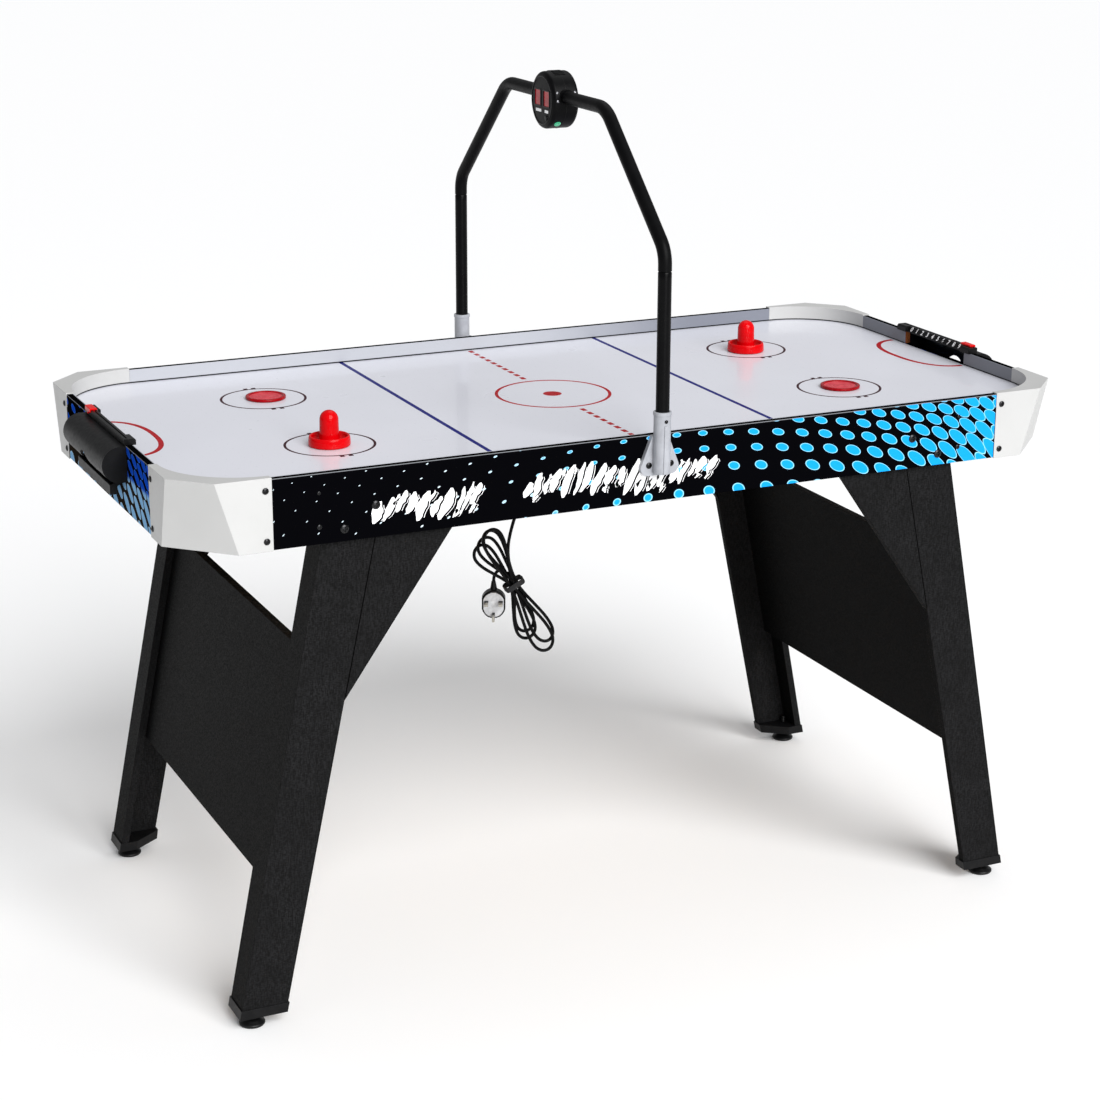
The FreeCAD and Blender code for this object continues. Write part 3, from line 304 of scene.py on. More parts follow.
class Paint:
    """A Principled material, kept by name, and what is linked to it. Colours are out of 255."""

    def __init__(self, name, colour, rough, specular=0.5, metal=0.0, coat=0.0, glow=None):
        self.material = bpy.data.materials.new(name)
        self.material.use_nodes = True
        MATERIALS[name] = self.material
        self.tree = self.material.node_tree
        self.inputs = self.tree.nodes["Principled BSDF"].inputs
        self.inputs["Base Color"].default_value = linear(*colour)
        self.inputs["Roughness"].default_value = rough
        self.inputs["Specular IOR Level"].default_value = specular
        self.inputs["Metallic"].default_value = metal
        self.inputs["Coat Weight"].default_value = coat
        self.inputs["Coat Roughness"].default_value = 0.05
        # An optional painted glow: emission on a part that is no lamp.
        if glow:
            self.inputs["Emission Color"].default_value = linear(*glow[0])
            self.inputs["Emission Strength"].default_value = glow[1]
        self.coordinates = self.tree.nodes.new("ShaderNodeTexCoord")
        self.relief = None

    def place(self):
        """The place on the piece in the table's frame, in millimetres, as three numbers."""
        split = self.tree.nodes.new("ShaderNodeSeparateXYZ")
        self.tree.links.new(self.coordinates.outputs["Object"], split.inputs[0])
        return [Flow(self.tree, output) * 1000.0 for output in split.outputs]

    def facing(self):
        """The surface's normal as three numbers."""
        split = self.tree.nodes.new("ShaderNodeSeparateXYZ")
        self.tree.links.new(self.coordinates.outputs["Normal"], split.inputs[0])
        return [Flow(self.tree, output) for output in split.outputs]

    def noise(self, size, detail=2.0, stretch=(1, 1, 1)):
        """Noise whose features are about size millimetres across."""
        mapping = self.tree.nodes.new("ShaderNodeMapping")
        mapping.inputs["Scale"].default_value = [1000.0 / (size * s) for s in stretch]
        self.tree.links.new(self.coordinates.outputs["Object"], mapping.inputs[0])
        node = self.tree.nodes.new("ShaderNodeTexNoise")
        node.inputs["Scale"].default_value = 1.0
        node.inputs["Detail"].default_value = detail
        self.tree.links.new(mapping.outputs[0], node.inputs["Vector"])
        return Flow(self.tree, node.outputs[0])

    def mix(self, factor, first, second):
        """A colour between two, each a constant or a socket."""
        node = self.tree.nodes.new("ShaderNodeMix")
        node.data_type = "RGBA"
        self.tree.links.new(factor.source, node.inputs[0])
        for socket, value in ((node.inputs[6], first), (node.inputs[7], second)):
            if isinstance(value, tuple):
                socket.default_value = linear(*value)
            else:
                self.tree.links.new(value, socket)
        return node.outputs[2]

    def colour(self, socket):
        self.tree.links.new(socket, self.inputs["Base Color"])

    def rough(self, flow):
        self.tree.links.new(flow.source, self.inputs["Roughness"])

    def bump(self, height, depth):
        """Relief of a height of 0 to 1, depth millimetres deep."""
        node = self.tree.nodes.new("ShaderNodeBump")
        node.inputs["Distance"].default_value = depth * MM
        self.tree.links.new(height.source, node.inputs["Height"])
        if self.relief:
            self.tree.links.new(self.relief, node.inputs["Normal"])
        self.relief = node.outputs[0]
        self.tree.links.new(self.relief, self.inputs["Normal"])


def plastic(name, dark, light, rough, grain=0.5, depth=0.02, size=14, **extra):
    """Moulded plastic: a slow drift between two colours, uneven gloss and a fine grain."""
    paint = Paint(name, dark, rough, **extra)
    paint.drift = paint.mix(paint.noise(size, 4).step(0.35, 0.68), dark, light)
    paint.colour(paint.drift)
    paint.rough(paint.noise(6, 5).step(0.2, 0.8) * 0.1 + (rough - 0.05))
    paint.bump(paint.noise(grain, 3), depth)
    return paint


def wall_paint(name, dark, light, rough, size, ends=None, bright=None, **extra):
    """Plastic of a wall around the field, with painted shade at the foot of its inner face where it meets the
    board.

    It has a painted reflection, bright left of x = 40 and fading out to x = 430, and on walls that face along
    X a painted shade colour of its own.
    """
    paint = plastic(name, dark, light, rough, size=size, **extra)
    x, y, z = paint.place()
    normal_x, normal_y, _ = paint.facing()
    shade = paint.drift
    # Painted reflection: the colour is painted lighter left of x = 40, fading out to x = 430.
    if bright:
        shade = paint.mix((-x).step(-430.0, -40.0), shade, bright)
    # Painted shade: walls that face along X take their own colour in place of the painted reflection.
    if ends:
        shade = paint.mix(normal_x.math("ABSOLUTE").step(0.6, 0.8), shade, ends)
    # Painted shade: a dark band at the foot of each inner face, standing for the shadow of the gap between
    # wall and board.
    inward = (-(normal_x * x + normal_y * y)).step(80.0, 200.0)
    foot = (-z + (FIELD_TOP + 2.0)).step(-0.3, 0.3)
    paint.colour(paint.mix(inward * foot, shade, (18, 19, 22)))


# The seam between a leg and its wing: under the apron it is this far from the middle, and it moves out by
# SEAM_LEAN for each millimetre down, as far as the wing's foot.
SEAM_TOP_X, SEAM_LEAN, SEAM_FOOT = 413.4, 0.215, 461.0


def laminate():
    """Black paper laminate with a fine crossed emboss, the seam between a leg and its wing, and painted shade
    on faces that turn toward the ends.
    """
    base = (18, 18, 18)
    paint = Paint("black_laminate", base, 0.5, specular=0.02)
    across = paint.noise(1.1, 3, (1, 1, 6))
    up = paint.noise(1.1, 3, (5, 5, 1))
    cloth = (across + up).step(0.8, 1.25)
    cloudy = paint.noise(40, 4).step(0.3, 0.7)
    woven = paint.mix(cloth, base, (34, 34, 35))
    board = paint.mix(cloudy * 0.35, woven, base)
    x, _, z = paint.place()
    seam_start = SEAM_TOP_X + APRON_LOW * SEAM_LEAN
    off_seam = (x.math("ABSOLUTE") + z * SEAM_LEAN - seam_start).math("ABSOLUTE")
    seam = (-off_seam + 1.1).step(0.0, 0.5) * z.step(SEAM_FOOT, SEAM_FOOT + 1)
    # Painted shade: faces that turn toward the table's ends are darkened nearly to black.
    painted_end_shade = paint.facing()[0].math("ABSOLUTE").step(0.55, 0.85)
    board = paint.mix(painted_end_shade * 0.75, board, (4, 4, 4))
    paint.colour(paint.mix(seam, board, (3, 3, 3)))
    paint.rough(cloth * -0.16 + 0.56)
    paint.bump(cloth, 0.05)


# Colours of the apron's print, and the height that its rows of dots are counted down from.
INK = (5, 5, 7)
DOT_BLUE = (24, 150, 222)
DOT_PALE = (146, 214, 246)
SPECK_WHITE = (204, 220, 228)
PRINT_TOP = 776.0


def halftone(paint, along, height, swell):
    """Printed dots in rows that fan out and grow to one end.

    Gives how much of a dot and of its centre shows, and how far the dots have grown. The columns and rows are
    smooth curves in units of 100 mm.
    """
    x = along / 100.0
    down = (-height + PRINT_TOP) / 100.0
    x_squared = x * x
    column = x * (x_squared * 0.023 - down * 0.43 + 2.43) + 0.29
    bow = x_squared * (down * 0.155 - 0.178) + x_squared * x_squared * (down * -0.0041 + 0.001)
    row = down * (down * -1.4 + 4.63) + bow + 0.15
    off_column = column.from_nearest()
    off_row = row.from_nearest()
    away = (off_column * off_column + off_row * off_row).math("SQRT")
    grow = ((swell + 600.0) / 1200.0).math("MAXIMUM", 0.0)
    radius = grow.math("POWER", 2.2) * 0.526 + 0.037
    dot = (radius - away).step(-0.006, 0.014)
    inner = (radius - 0.032 - away).step(-0.01, 0.014)
    return dot, inner, grow


def apron_print(name, sign, end):
    """Black board with the printed dots on its outer face, a painted highlight just under its top edge,
    painted shade on the upper part of the end aprons, and its own edge elsewhere.
    """
    paint = Paint(name, INK, 0.32, specular=0.0)
    x, y, z = paint.place()
    if end:
        along, swell = y * sign + 330.0, y * (0.6 * sign) + 350.0
    else:
        along = swell = x * -sign
    dot, inner, grow = halftone(paint, along, z, swell)
    outline_fade = grow.step(1.02, 1.1)
    small = grow.step(0.22, 0.42)
    rim = paint.mix(small, SPECK_WHITE, paint.mix(outline_fade, DOT_PALE, DOT_BLUE))
    centre = paint.mix(small, SPECK_WHITE, DOT_BLUE)
    black = INK
    if end:
        # Painted shade: the end aprons' print is painted darker and deeper blue above about z = 740, and
        # lighter below.
        low = (-z + 740.0).step(-4.0, 5.0)
        rim = paint.mix(low, (58, 112, 214), (168, 204, 232))
        centre = paint.mix(low, (16, 66, 176), (126, 172, 212))
        black = paint.mix(low, INK, (34, 29, 24))
    blue = paint.mix(inner, rim, centre)
    speckle = paint.noise(1.6, 5).step(0.66, 0.8) * 0.16
    black = paint.mix(speckle, black, (46, 48, 52))
    printed = paint.mix(dot, black, blue)
    # Painted highlight: a thin grey line just under the apron's top edge.
    line = z.step(APRON_TOP - 1.4, APRON_TOP - 0.9)
    printed = paint.mix(line, printed, (120, 122, 126))
    normal_x, normal_y, _ = paint.facing()
    outward = (normal_x if end else normal_y).math("ABSOLUTE").step(0.6, 0.8)
    edges = paint.mix(paint.noise(3, 4).step(0.3, 0.7), (3, 3, 3), (6, 6, 7))
    if end:
        fibre = paint.noise(1.2, 6, (0.5, 1, 3)).step(0.25, 0.75)
        raw = paint.mix(fibre, (112, 58, 30), (176, 106, 62))
        # The sides of the puck's notch, close to the middle, show raw board.
        sawn = normal_y.math("ABSOLUTE").step(0.6, 0.8) * y.math("ABSOLUTE").math("LESS_THAN", 120.0)
        edges = paint.mix(sawn, edges, raw)
    paint.colour(paint.mix(outward, edges, printed))
    paint.rough(paint.noise(12, 4).step(0.2, 0.8) * 0.1 + 0.26)
    paint.bump(paint.noise(0.9, 3), 0.012)


def wood():
    """Bare board: long fibres and fine pores."""
    light = (196, 164, 122)
    paint = Paint("bare_board", light, 0.75, specular=0.25)
    fibre = paint.noise(2.5, 6, (14, 1, 1))
    paint.colour(paint.mix(fibre.step(0.3, 0.7), (150, 116, 78), light))
    paint.rough(fibre * 0.2 + 0.62)
    paint.bump(fibre, 0.12)


HOLE_PITCH = 25.4


def field_paint():
    """White lacquered board with its rows of small air holes."""
    paint = Paint("field_lacquer", (214, 215, 223), 0.3, specular=0.4, coat=0.3)
    x, y, _ = paint.place()
    hole_x = (x / HOLE_PITCH).from_nearest() * HOLE_PITCH
    hole_y = (y / HOLE_PITCH).from_nearest() * HOLE_PITCH
    away = (hole_x * hole_x + hole_y * hole_y).math("SQRT")
    hole = -away.step(0.35, 0.8) + 1.0
    white = paint.mix(paint.noise(260, 2).step(0.3, 0.7), (213, 214, 222), (216, 217, 225))
    paint.colour(paint.mix(hole * 0.5, white, (120, 122, 130)))
    paint.rough(paint.noise(90, 2).step(0.2, 0.8) * 0.05 + 0.27)
    paint.bump(-hole + 1.0, 0.1)


def metal(name, dark, light, rough, stretch=(1, 1, 9), coat=0.0):
    """Steel or brass with fine drawn lines."""
    paint = Paint(name, light, rough, metal=1.0, coat=coat)
    lines = paint.noise(0.7, 4, stretch)
    paint.colour(paint.mix(lines.step(0.3, 0.7), dark, light))
    paint.rough(lines * 0.16 + (rough - 0.06))
    paint.bump(lines, 0.01)


def make_materials():
    """Every material of the table; the two colours of each are the ends of its slow drift."""
    for name, sign in (*FACES.items(), *SIDES.items()):
        apron_print(f"apron_print_{name}", sign, end=name in SIDES)
    laminate()
    field_paint()
    # The liner's bright colour is a painted reflection, and its ends colour is painted shade on the end
    # walls.
    wall_paint("liner_silver", (122, 125, 135), (124, 127, 137), 0.34, size=160, ends=(124, 126, 133),
               bright=(174, 176, 182), specular=0.12)
    wall_paint("cap_white", (182, 182, 181), (185, 185, 184), 0.42, grain=0.8, size=80, specular=0.35)
    wood()
    plastic("black_moulding", (11, 11, 12), (17, 17, 18), 0.44, specular=0.14)
    plastic("hood_moulding", (10, 10, 11), (15, 15, 16), 0.44, grain=0.7, specular=0.12)
    plastic("bar_moulding", (8, 8, 9), (13, 13, 14), 0.36, specular=0.14)
    plastic("white_print", (236, 236, 238), (246, 246, 246), 0.4, size=4)
    plastic("red_moulding", (196, 0, 6), (206, 2, 9), 0.16, grain=3, depth=0.01, size=30, specular=0.14)
    plastic("red_marker", (206, 6, 8), (216, 12, 14), 0.3, size=8, specular=0.14)
    plastic("puck_rim", (138, 0, 10), (152, 2, 14), 0.26, size=12, specular=0.14)
    plastic("puck_top", (188, 54, 66), (200, 72, 80), 0.36, size=9, specular=0.14)
    plastic("tube_gloss", (5, 5, 6), (8, 8, 9), 0.24, grain=1.8, depth=0.012, specular=0.08)
    plastic("tube_satin", (7, 7, 8), (10, 10, 11), 0.4, grain=0.8, specular=0.06)
    plastic("bracket_grey", (150, 152, 158), (162, 164, 170), 0.36, grain=0.8, size=16)
    plastic("scorer_moulding", (6, 6, 7), (9, 9, 10), 0.38, grain=0.6, depth=0.03, specular=0.07)
    # Painted glow: the red windows get a faint emission of their own.
    plastic("window_red", (112, 14, 22), (150, 30, 38), 0.2, size=9, specular=0.3, glow=((170, 26, 34), 0.22))
    plastic("circuit_board", (18, 74, 40), (26, 96, 52), 0.36, size=3)
    # Painted glow: the green button lens gets a faint emission of its own.
    plastic("button_green", (34, 150, 104), (72, 196, 146), 0.2, size=4, coat=0.4,
            glow=((60, 190, 140), 0.15))
    metal("black_screw", (24, 24, 25), (44, 44, 46), 0.26, (1, 1, 1), coat=0.3)
    metal("motor_steel", (132, 132, 136), (172, 172, 176), 0.34)
    metal("pin_brass", (150, 147, 138), (190, 186, 176), 0.3, (1, 6, 1))
    plastic("cord_flex", (5, 5, 6), (8, 8, 9), 0.42, grain=1.2, size=7, specular=0.1)
    plastic("plug_black", (8, 8, 9), (13, 13, 14), 0.4, size=6, specular=0.2)
    plastic("plug_face", (196, 197, 200), (214, 215, 217), 0.38, size=5)
    plastic("tie_fabric", (20, 20, 22), (34, 34, 36), 0.85, depth=0.2, size=2)
    for name, dark, light in (("blue", (14, 20, 104), (20, 26, 112)), ("red", (156, 0, 12), (168, 3, 18)),
                              ("dark_red", (44, 2, 14), (54, 4, 18))):
        plastic(f"ink_{name}", dark, light, 0.3, size=12, specular=0.04)
    plastic("foot_rubber", (10, 10, 11), (16, 16, 17), 0.4, size=5, specular=0.25)


# ---- mains cord ----

CORD_DIAMETER = 5.0
CORD_ROUTE = [(-60, 0, 612), (-60, 0, 590), (-69, 1, 564), (-75.5, 2, 533), (-73, 1, 503), (-66, 0, 480)]
GLAND_PLACE = (-60, 0, 645)
WAIST = Vector((-66, 0, 474))
# Each turn of the hank: tip of the upper loop, tip of the lower loop, half widths, depth.
HANK_TURNS = [
    ((-104, 566), 16.5, (-7, 367), 17.0, -5.0),
    ((-123, 537), 15.0, (-38, 385), 15.5, 2.5),
    ((-112, 560), 15.0, (-10, 377), 15.0, -1.5),
    ((-120, 544), 15.5, (-45, 392), 14.5, 6.0),
]
# How far along a loop, and how wide it is there, from the waist to its tip.
LOOP_SHAPE = [(0.16, 0.24), (0.42, 0.62), (0.68, 0.98), (0.88, 1.0), (0.99, 0.62)]
PLUG_PLACE = Vector((-90, 22, 435))
PLUG_TURN = Matrix.Rotation(math.radians(-25), 3, "Z")


def hank_points():
    """Four uneven turns, each down one side, up the other and over the top, through the tied waist."""
    points = []
    for turn, (high, high_half, low, low_half, depth) in enumerate(HANK_TURNS):
        shift = (turn - 1.5) * 3.2
        for tip, half in ((low, low_half), (high, high_half)):
            end = Vector((tip[0], 0, tip[1]))
            along = end - WAIST
            across = Vector((along.z, 0, -along.x)).normalized()
            middle = WAIST + Vector((shift, 0, shift * 0.45))
            points.append(middle + across * -2.6 + Vector((0, depth * 0.8, 0)))
            outward = [(s, -w) for s, w in LOOP_SHAPE] + [(1.03, 0.0)]
            for s, w in outward + LOOP_SHAPE[::-1]:
                fan = depth * (1 + 0.35 * s) + w * 1.6
                points.append(middle + along * s + across * (w * half) + Vector((0, fan, 0)))
    return points


def make_cord():
    into_plug = PLUG_PLACE + PLUG_TURN @ Vector((0, 9.5, 22))
    tail = [Vector((-71, 12, 487)), Vector((-80, 24, 492)), into_plug + Vector((0.5, 0, 24)),
            into_plug + Vector((0, 0, 11)), into_plug]
    places = [Vector(p) for p in CORD_ROUTE] + hank_points() + tail
    data = bpy.data.curves.new("mains_cord", "CURVE")
    data.dimensions = "3D"
    spline = data.splines.new("NURBS")
    spline.points.add(len(places) - 1)
    for point, place in zip(spline.points, places):
        point.co = (*(place * MM), 1.0)
    spline.order_u = 3
    spline.use_endpoint_u = True
    spline.resolution_u = 6
    data.bevel_depth = CORD_DIAMETER / 2 * MM
    data.bevel_resolution = 5
    data.use_fill_caps = True
    data.materials.append(MATERIALS["cord_flex"])
    cord = add_object("mains_cord", data)
    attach(cord, "table")
    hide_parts("cord_lead", "cord_hank")

    relief = [(0, 2), (9.4, 2), (10, 0.6), (10, -1.2), (9.2, -2), (6.6, -2.2), (6.4, -5)]
    for k in range(5):
        height, radius = -7.0 - 4.6 * k, 6.2 - 0.55 * k
        relief += [(radius, height), (radius, height - 2.4), (radius - 1.5, height - 2.9),
                   (radius - 1.6, height - 4.1)]
    relief += [(3.5, -31), (3.1, -32.6), (0, -32.8)]
    gland = Shape().lathe(relief[::-1], GLAND_PLACE, sides=40)
    gland = gland.make("cord_gland_relief", "black_moulding", "black_plastic", replaces=["cord_gland"],
                       sharp=40)

    tie = Shape()
    outline = rounded_rectangle(16.5, 10.5, 6.5, 6)
    inner = [(x * 0.93, y * 0.9) for x, y in outline]
    lean = turn_to(Vector((62, 0, -112)), Vector((0, 1, 0)))
    tie.band(outline, inner, -4.5, 4.5,
             lambda a, b, h: WAIST + lean @ Vector((a, b, h + 0.5 * math.sin(a * 0.4))))
    tie = tie.make("cord_tie", "tie_fabric", "cord_rubber", bevel=0.5)

    body, pins = make_plug()
    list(body)


def rounded_rectangle(half_a, half_b, radius, count):
    points = []
    for sign_a, sign_b, start in ((1, 1, 0), (-1, 1, 90), (-1, -1, 180), (1, -1, 270)):
        centre = (sign_a * (half_a - radius), sign_b * (half_b - radius))
        points += arc(centre, radius, start, start + 90, count)
    return points


def make_plug():
    """Moulded plug: dark body with a light face, and three pins with their insulated roots."""
    def lift(a, b, h):
        return PLUG_PLACE + PLUG_TURN @ Vector((a, h, b))

    half = [(0, -20.8), (5, -20.3), (9.5, -18.6), (13.5, -15), (16.4, -10.6), (18, -6), (18, 3), (18, 11),
            (16.4, 14.6), (13.6, 18.2), (10, 21), (6.2, 22.6), (4.4, 24)]
    outline = half + [(-a, b) for a, b in half[::-1] if a > 0]
    body = Shape().prism(outline, 1.2, 19, lift)
    body = body.make("plug_housing", "plug_black", "black_plastic", replaces=["plug_body"], bevel=2.2,
                     steps=4, sharp=50)
    face = Shape().prism([(a * 0.87, b * 0.87) for a, b in outline], 0, 1.6, lift)
    face = face.make("plug_face_plate", "plug_face", "black_plastic", bevel=0.9, steps=3, sharp=50)
    cover = Shape().prism([(a, b + 2) for a, b in rounded_rectangle(3.4, 6.2, 0.8, 3)], -0.3, 0.4, lift)
    cover = cover.make("plug_fuse_cover", "plug_face", "black_plastic", bevel=0.2)
    collar = Shape().lathe([(0, 0), (5.4, 0), (5.2, 3), (4.2, 8), (3.4, 13), (3.0, 14), (0, 14)],
                           lift(0, 23, 9.5), sides=32)
    collar = collar.make("plug_collar", "plug_black", "black_plastic", sharp=40)
    pins, sleeves = Shape(), Shape()
    for a, b, wide, tall, long in ((-11, 6, 6.3, 4, 17.7), (11, 6, 6.3, 4, 17.7), (0, -15, 4, 8, 22.7)):
        for shape, grow, radius, reach in ((pins, 0, 0.7, long), (sleeves, 0.12, 0.8, long * 0.5)):
            blade = rounded_rectangle(wide / 2 + grow, tall / 2 + grow, radius, 3)
            shape.prism([(a + u, b + v) for u, v in blade], -reach, 1, lift)
    pins = pins.make("plug_pins_bright", "pin_brass", "pin_brass", replaces=["plug_pins"], bevel=0.35)
    sleeves = sleeves.make("plug_pin_sleeves", "plug_black", "black_plastic", bevel=0.1, steps=1)
    return (body, face, cover, collar, sleeves), pins


# ---- boards, caps and rails ----

def dress_boards():
    finish_node("playfield_board", "field_lacquer")
    for name in (*FACES, *SIDES):
        kind = "side_apron" if name in FACES else "end_apron"
        finish_node(f"{kind}_{name}", f"apron_print_{name}", 0.5)
    for corner in CORNERS:
        finish_node(f"corner_cap_{corner}", "cap_white", 0.5, 3)
        finish_node(f"leg_{corner}", "black_laminate", 0.6)
        finish_node(f"leg_wing_{corner}", "black_laminate", 0.6)
    for side in SIDES:
        finish_node(f"end_panel_{side}", "black_laminate", 0.5)
    for name, material, *edges in (
            ("rail_liners", "liner_silver", 0.2, 1), ("leg_end_caps", "black_moulding", 0.6),
            ("chamber_battens", "bare_board", 0.5, 1), ("chamber_floor", "bare_board", 0.3, 1),
            ("blower_housing", "black_moulding", 0.5), ("blower_grille", "black_moulding", 0.3),
            ("blower_motor", "motor_steel", 0.5), ("blower_impeller", "black_moulding", 0.4)):
        finish_node(name, material, *edges)


FOOT_X, FOOT_Y = 601, 310


def make_feet():
    """Round feet with a broad sole, a slim collar and a threaded stem."""
    profile = [(0, 0), (15.8, 0), (17.4, 0.5), (18.2, 1.6), (18.2, 3.4), (17.6, 4.4), (15.5, 5.6),
               (12.8, 7.4), (11.6, 8.6), (7.2, 9.2), (7, 9.4), (7, 13.8), (6.6, 14), (4, 14)]
    for turn in range(13):
        height = 14.6 + 2.0 * turn
        profile += [(4.0, height), (3.45, height + 1.0)]
    profile += [(4.0, 41), (3.6, 42), (0, 42)]
    for corner, (x_sign, y_sign) in CORNERS.items():
        foot = Shape().lathe(profile, (FOOT_X * x_sign, FOOT_Y * y_sign, 0), sides=72)
        foot.make(f"foot_{corner}_turned", "foot_rubber", "black_plastic", f"foot_{corner}",
                  [f"leveller_foot_{corner}"], sharp=38)


# ---- screws ----

# Radius and rise of the heads.
SCREW_HEAD, CLAMP_SCREW_HEAD = (4.4, 2.2), (2.6, 1.4)
BRACKET_SCREW_Z, CLAMP_SCREW_Z = 742, 806
# The caps' screws: their distance from the middle, along the long sides and along the ends.
CAP_SCREW_X, CAP_SCREW_Y = 567, 224
# The heads on the side aprons over each leg: X, height and radius.
BOLT_HEADS = ((415.5, 732, 6), (460, 704.5, 6), (494.5, 711, 3.5), (494, 757, 2.5))


def add_pan_head(shape, place, normal, head, rise):
    """A domed head with a real cross recess, on a short shank; head is its radius."""
    rings = 13
    turn = turn_to(normal)
    levels = []
    for ring in range(1, rings):
        share = ring / (rings - 1)
        radius = head * share
        dome = rise * math.sqrt(max(0.0, 1 - (0.93 * share) ** 2))
        level = []
        for u, v in circle(radius, 48):
            arm = min(abs(u), abs(v)) < 0.13 * head and radius < 0.56 * head
            level.append((u, v, dome - (0.42 * rise if arm else 0)))
        levels.append(level)
    levels.append([(u, v, -0.3) for u, v in circle(head, 48)])
    shape.loft([[turn @ Vector(p) + Vector(place) for p in level] for level in levels])


def make_screws():
    caps = Shape()
    for x_sign, y_sign in CORNERS.values():
        for height in (APRON_TOP - 15, APRON_LOW + 13):
            on_side = (CAP_SCREW_X * x_sign, (WALL_Y + CAP_OUT) * y_sign, height)
            on_end = ((WALL_X + CAP_OUT) * x_sign, CAP_SCREW_Y * y_sign, height)
            add_pan_head(caps, on_side, (0, y_sign, 0), *SCREW_HEAD)
            add_pan_head(caps, on_end, (x_sign, 0, 0), *SCREW_HEAD)
    for sign in FACES.values():
        for x in (-17, 17):
            add_pan_head(caps, (x, BRACKET_Y * sign, BRACKET_SCREW_Z), (0, sign, 0), *SCREW_HEAD)
        add_pan_head(caps, (0, (SOCKET_Y + 12) * sign, CLAMP_SCREW_Z), (0, sign, 0), *CLAMP_SCREW_HEAD)
    caps.make("cap_screw_heads", "black_screw", "black_steel", replaces=["pan_head_screws"], sharp=45)

    bolts = Shape()
    for x_sign, y_sign in CORNERS.values():
        for x, z, head in BOLT_HEADS:
            place = (x * x_sign, (WALL_Y + APRON_OUT) * y_sign, z)
            add_pan_head(bolts, place, (0, y_sign, 0), head, head * 0.46)
    bolts.make("leg_bolt_heads", "black_screw", "black_steel", replaces=["leg_bolts"], sharp=45)


# ---- printed lines and shards ----

PRINT_LOW, PRINT_HIGH = FIELD_TOP - 0.1, FIELD_TOP + 0.04
# Where the two blue lines cross the field, and the centres of the four dark red rings.
LINE_X = (-217, 225)
RING_X, RING_Y = (-404, 415), (154, -134)


def on_field(a, b, h):
    return (a, b, h)


def add_ring(shape, centre, outer, width):
    rings = [[(centre[0] + a, centre[1] + b) for a, b in circle(radius, 128)]
             for radius in (outer, outer - width)]
    shape.band(*rings, PRINT_LOW, PRINT_HIGH, on_field)


def add_strip(shape, path, width):
    """A printed line along a path on the field."""
    path = [Vector(p) for p in path]
    left, right = [], []
    for k, place in enumerate(path):
        way = (path[min(k + 1, len(path) - 1)] - path[max(k - 1, 0)]).normalized()
        side = Vector((-way.y, way.x)) * (width / 2)
        left.append(tuple(place + side))
        right.append(tuple(place - side))
    for k in range(len(path) - 1):
        shape.prism([left[k], right[k], right[k + 1], left[k + 1]], PRINT_LOW, PRINT_HIGH, on_field)


def make_field_lines():
    blue = Shape()
    for x in LINE_X:
        add_strip(blue, [(x, -WALL_Y), (x, WALL_Y)], 7)
    blue.make("field_lines_blue", "ink_blue", "field_white")

    red = Shape()
    centre_y = 7.0
    red.prism(arc((1, centre_y), 14, 0, 355, 72), PRINT_LOW, PRINT_HIGH, on_field)
    for way in (-1, 1):
        for k in range(11):
            y = centre_y + way * (108 + 22.3 * k)
            if abs(y) > WALL_Y - 8:
                continue
            dash = [(a + 1, b + y) for a, b in rounded_rectangle(3.8, 7, 1, 3)]
            red.prism(dash, PRINT_LOW, PRINT_HIGH, on_field)
    for sign in SIDES.values():
        half, inward = 101.0, 58.0
        path = []
        for k in range(49):
            angle = math.radians(-90 + 180 * k / 48)
            across = math.copysign(abs(math.sin(angle)) ** 0.82, math.sin(angle))
            path.append((sign * (WALL_X - 4 - inward * math.cos(angle) ** 0.9), 14 + half * across))
        add_strip(red, path, 7.6)
    add_ring(red, (2.2, centre_y), 87.6, 5)
    red.make("field_marks_red", "ink_red", "field_white")

    dark = Shape()
    for x in RING_X:
        for y in RING_Y:
            add_ring(dark, (x, y), 64.2, 3.8)
            for way in (-1, 1):
                for apart in (-6.3, 6.3):
                    tick = x + apart
                    add_strip(dark, [(tick, y + way * 62), (tick, y + way * 70)], 6.6)
    dark.make("field_rings_dark_red", "ink_dark_red", "field_white")


SHARD_LEAN = 0.42


def shard(draw, x, z, length, width):
    """A slanted splinter with torn edges, as two rows of points along its sides."""
    count = 9
    left, right = [], []
    for k in range(count):
        share = k / (count - 1)
        half = width / 2 * math.sin(math.pi * (0.04 + 0.92 * share)) ** 0.7
        tear = 1.7 if 0 < k < count - 1 else 0.2
        middle = x + SHARD_LEAN * (share - 0.5) * length + 1.6 * math.sin(5 * share + x)
        height = z + (share - 0.5) * length
        left.append((middle - half + draw.uniform(-tear, tear * 0.5),
                     height + draw.uniform(-tear, tear) / 2))
        right.append((middle + half + draw.uniform(-tear * 0.5, tear),
                      height + draw.uniform(-tear, tear) / 2))
    return left, right


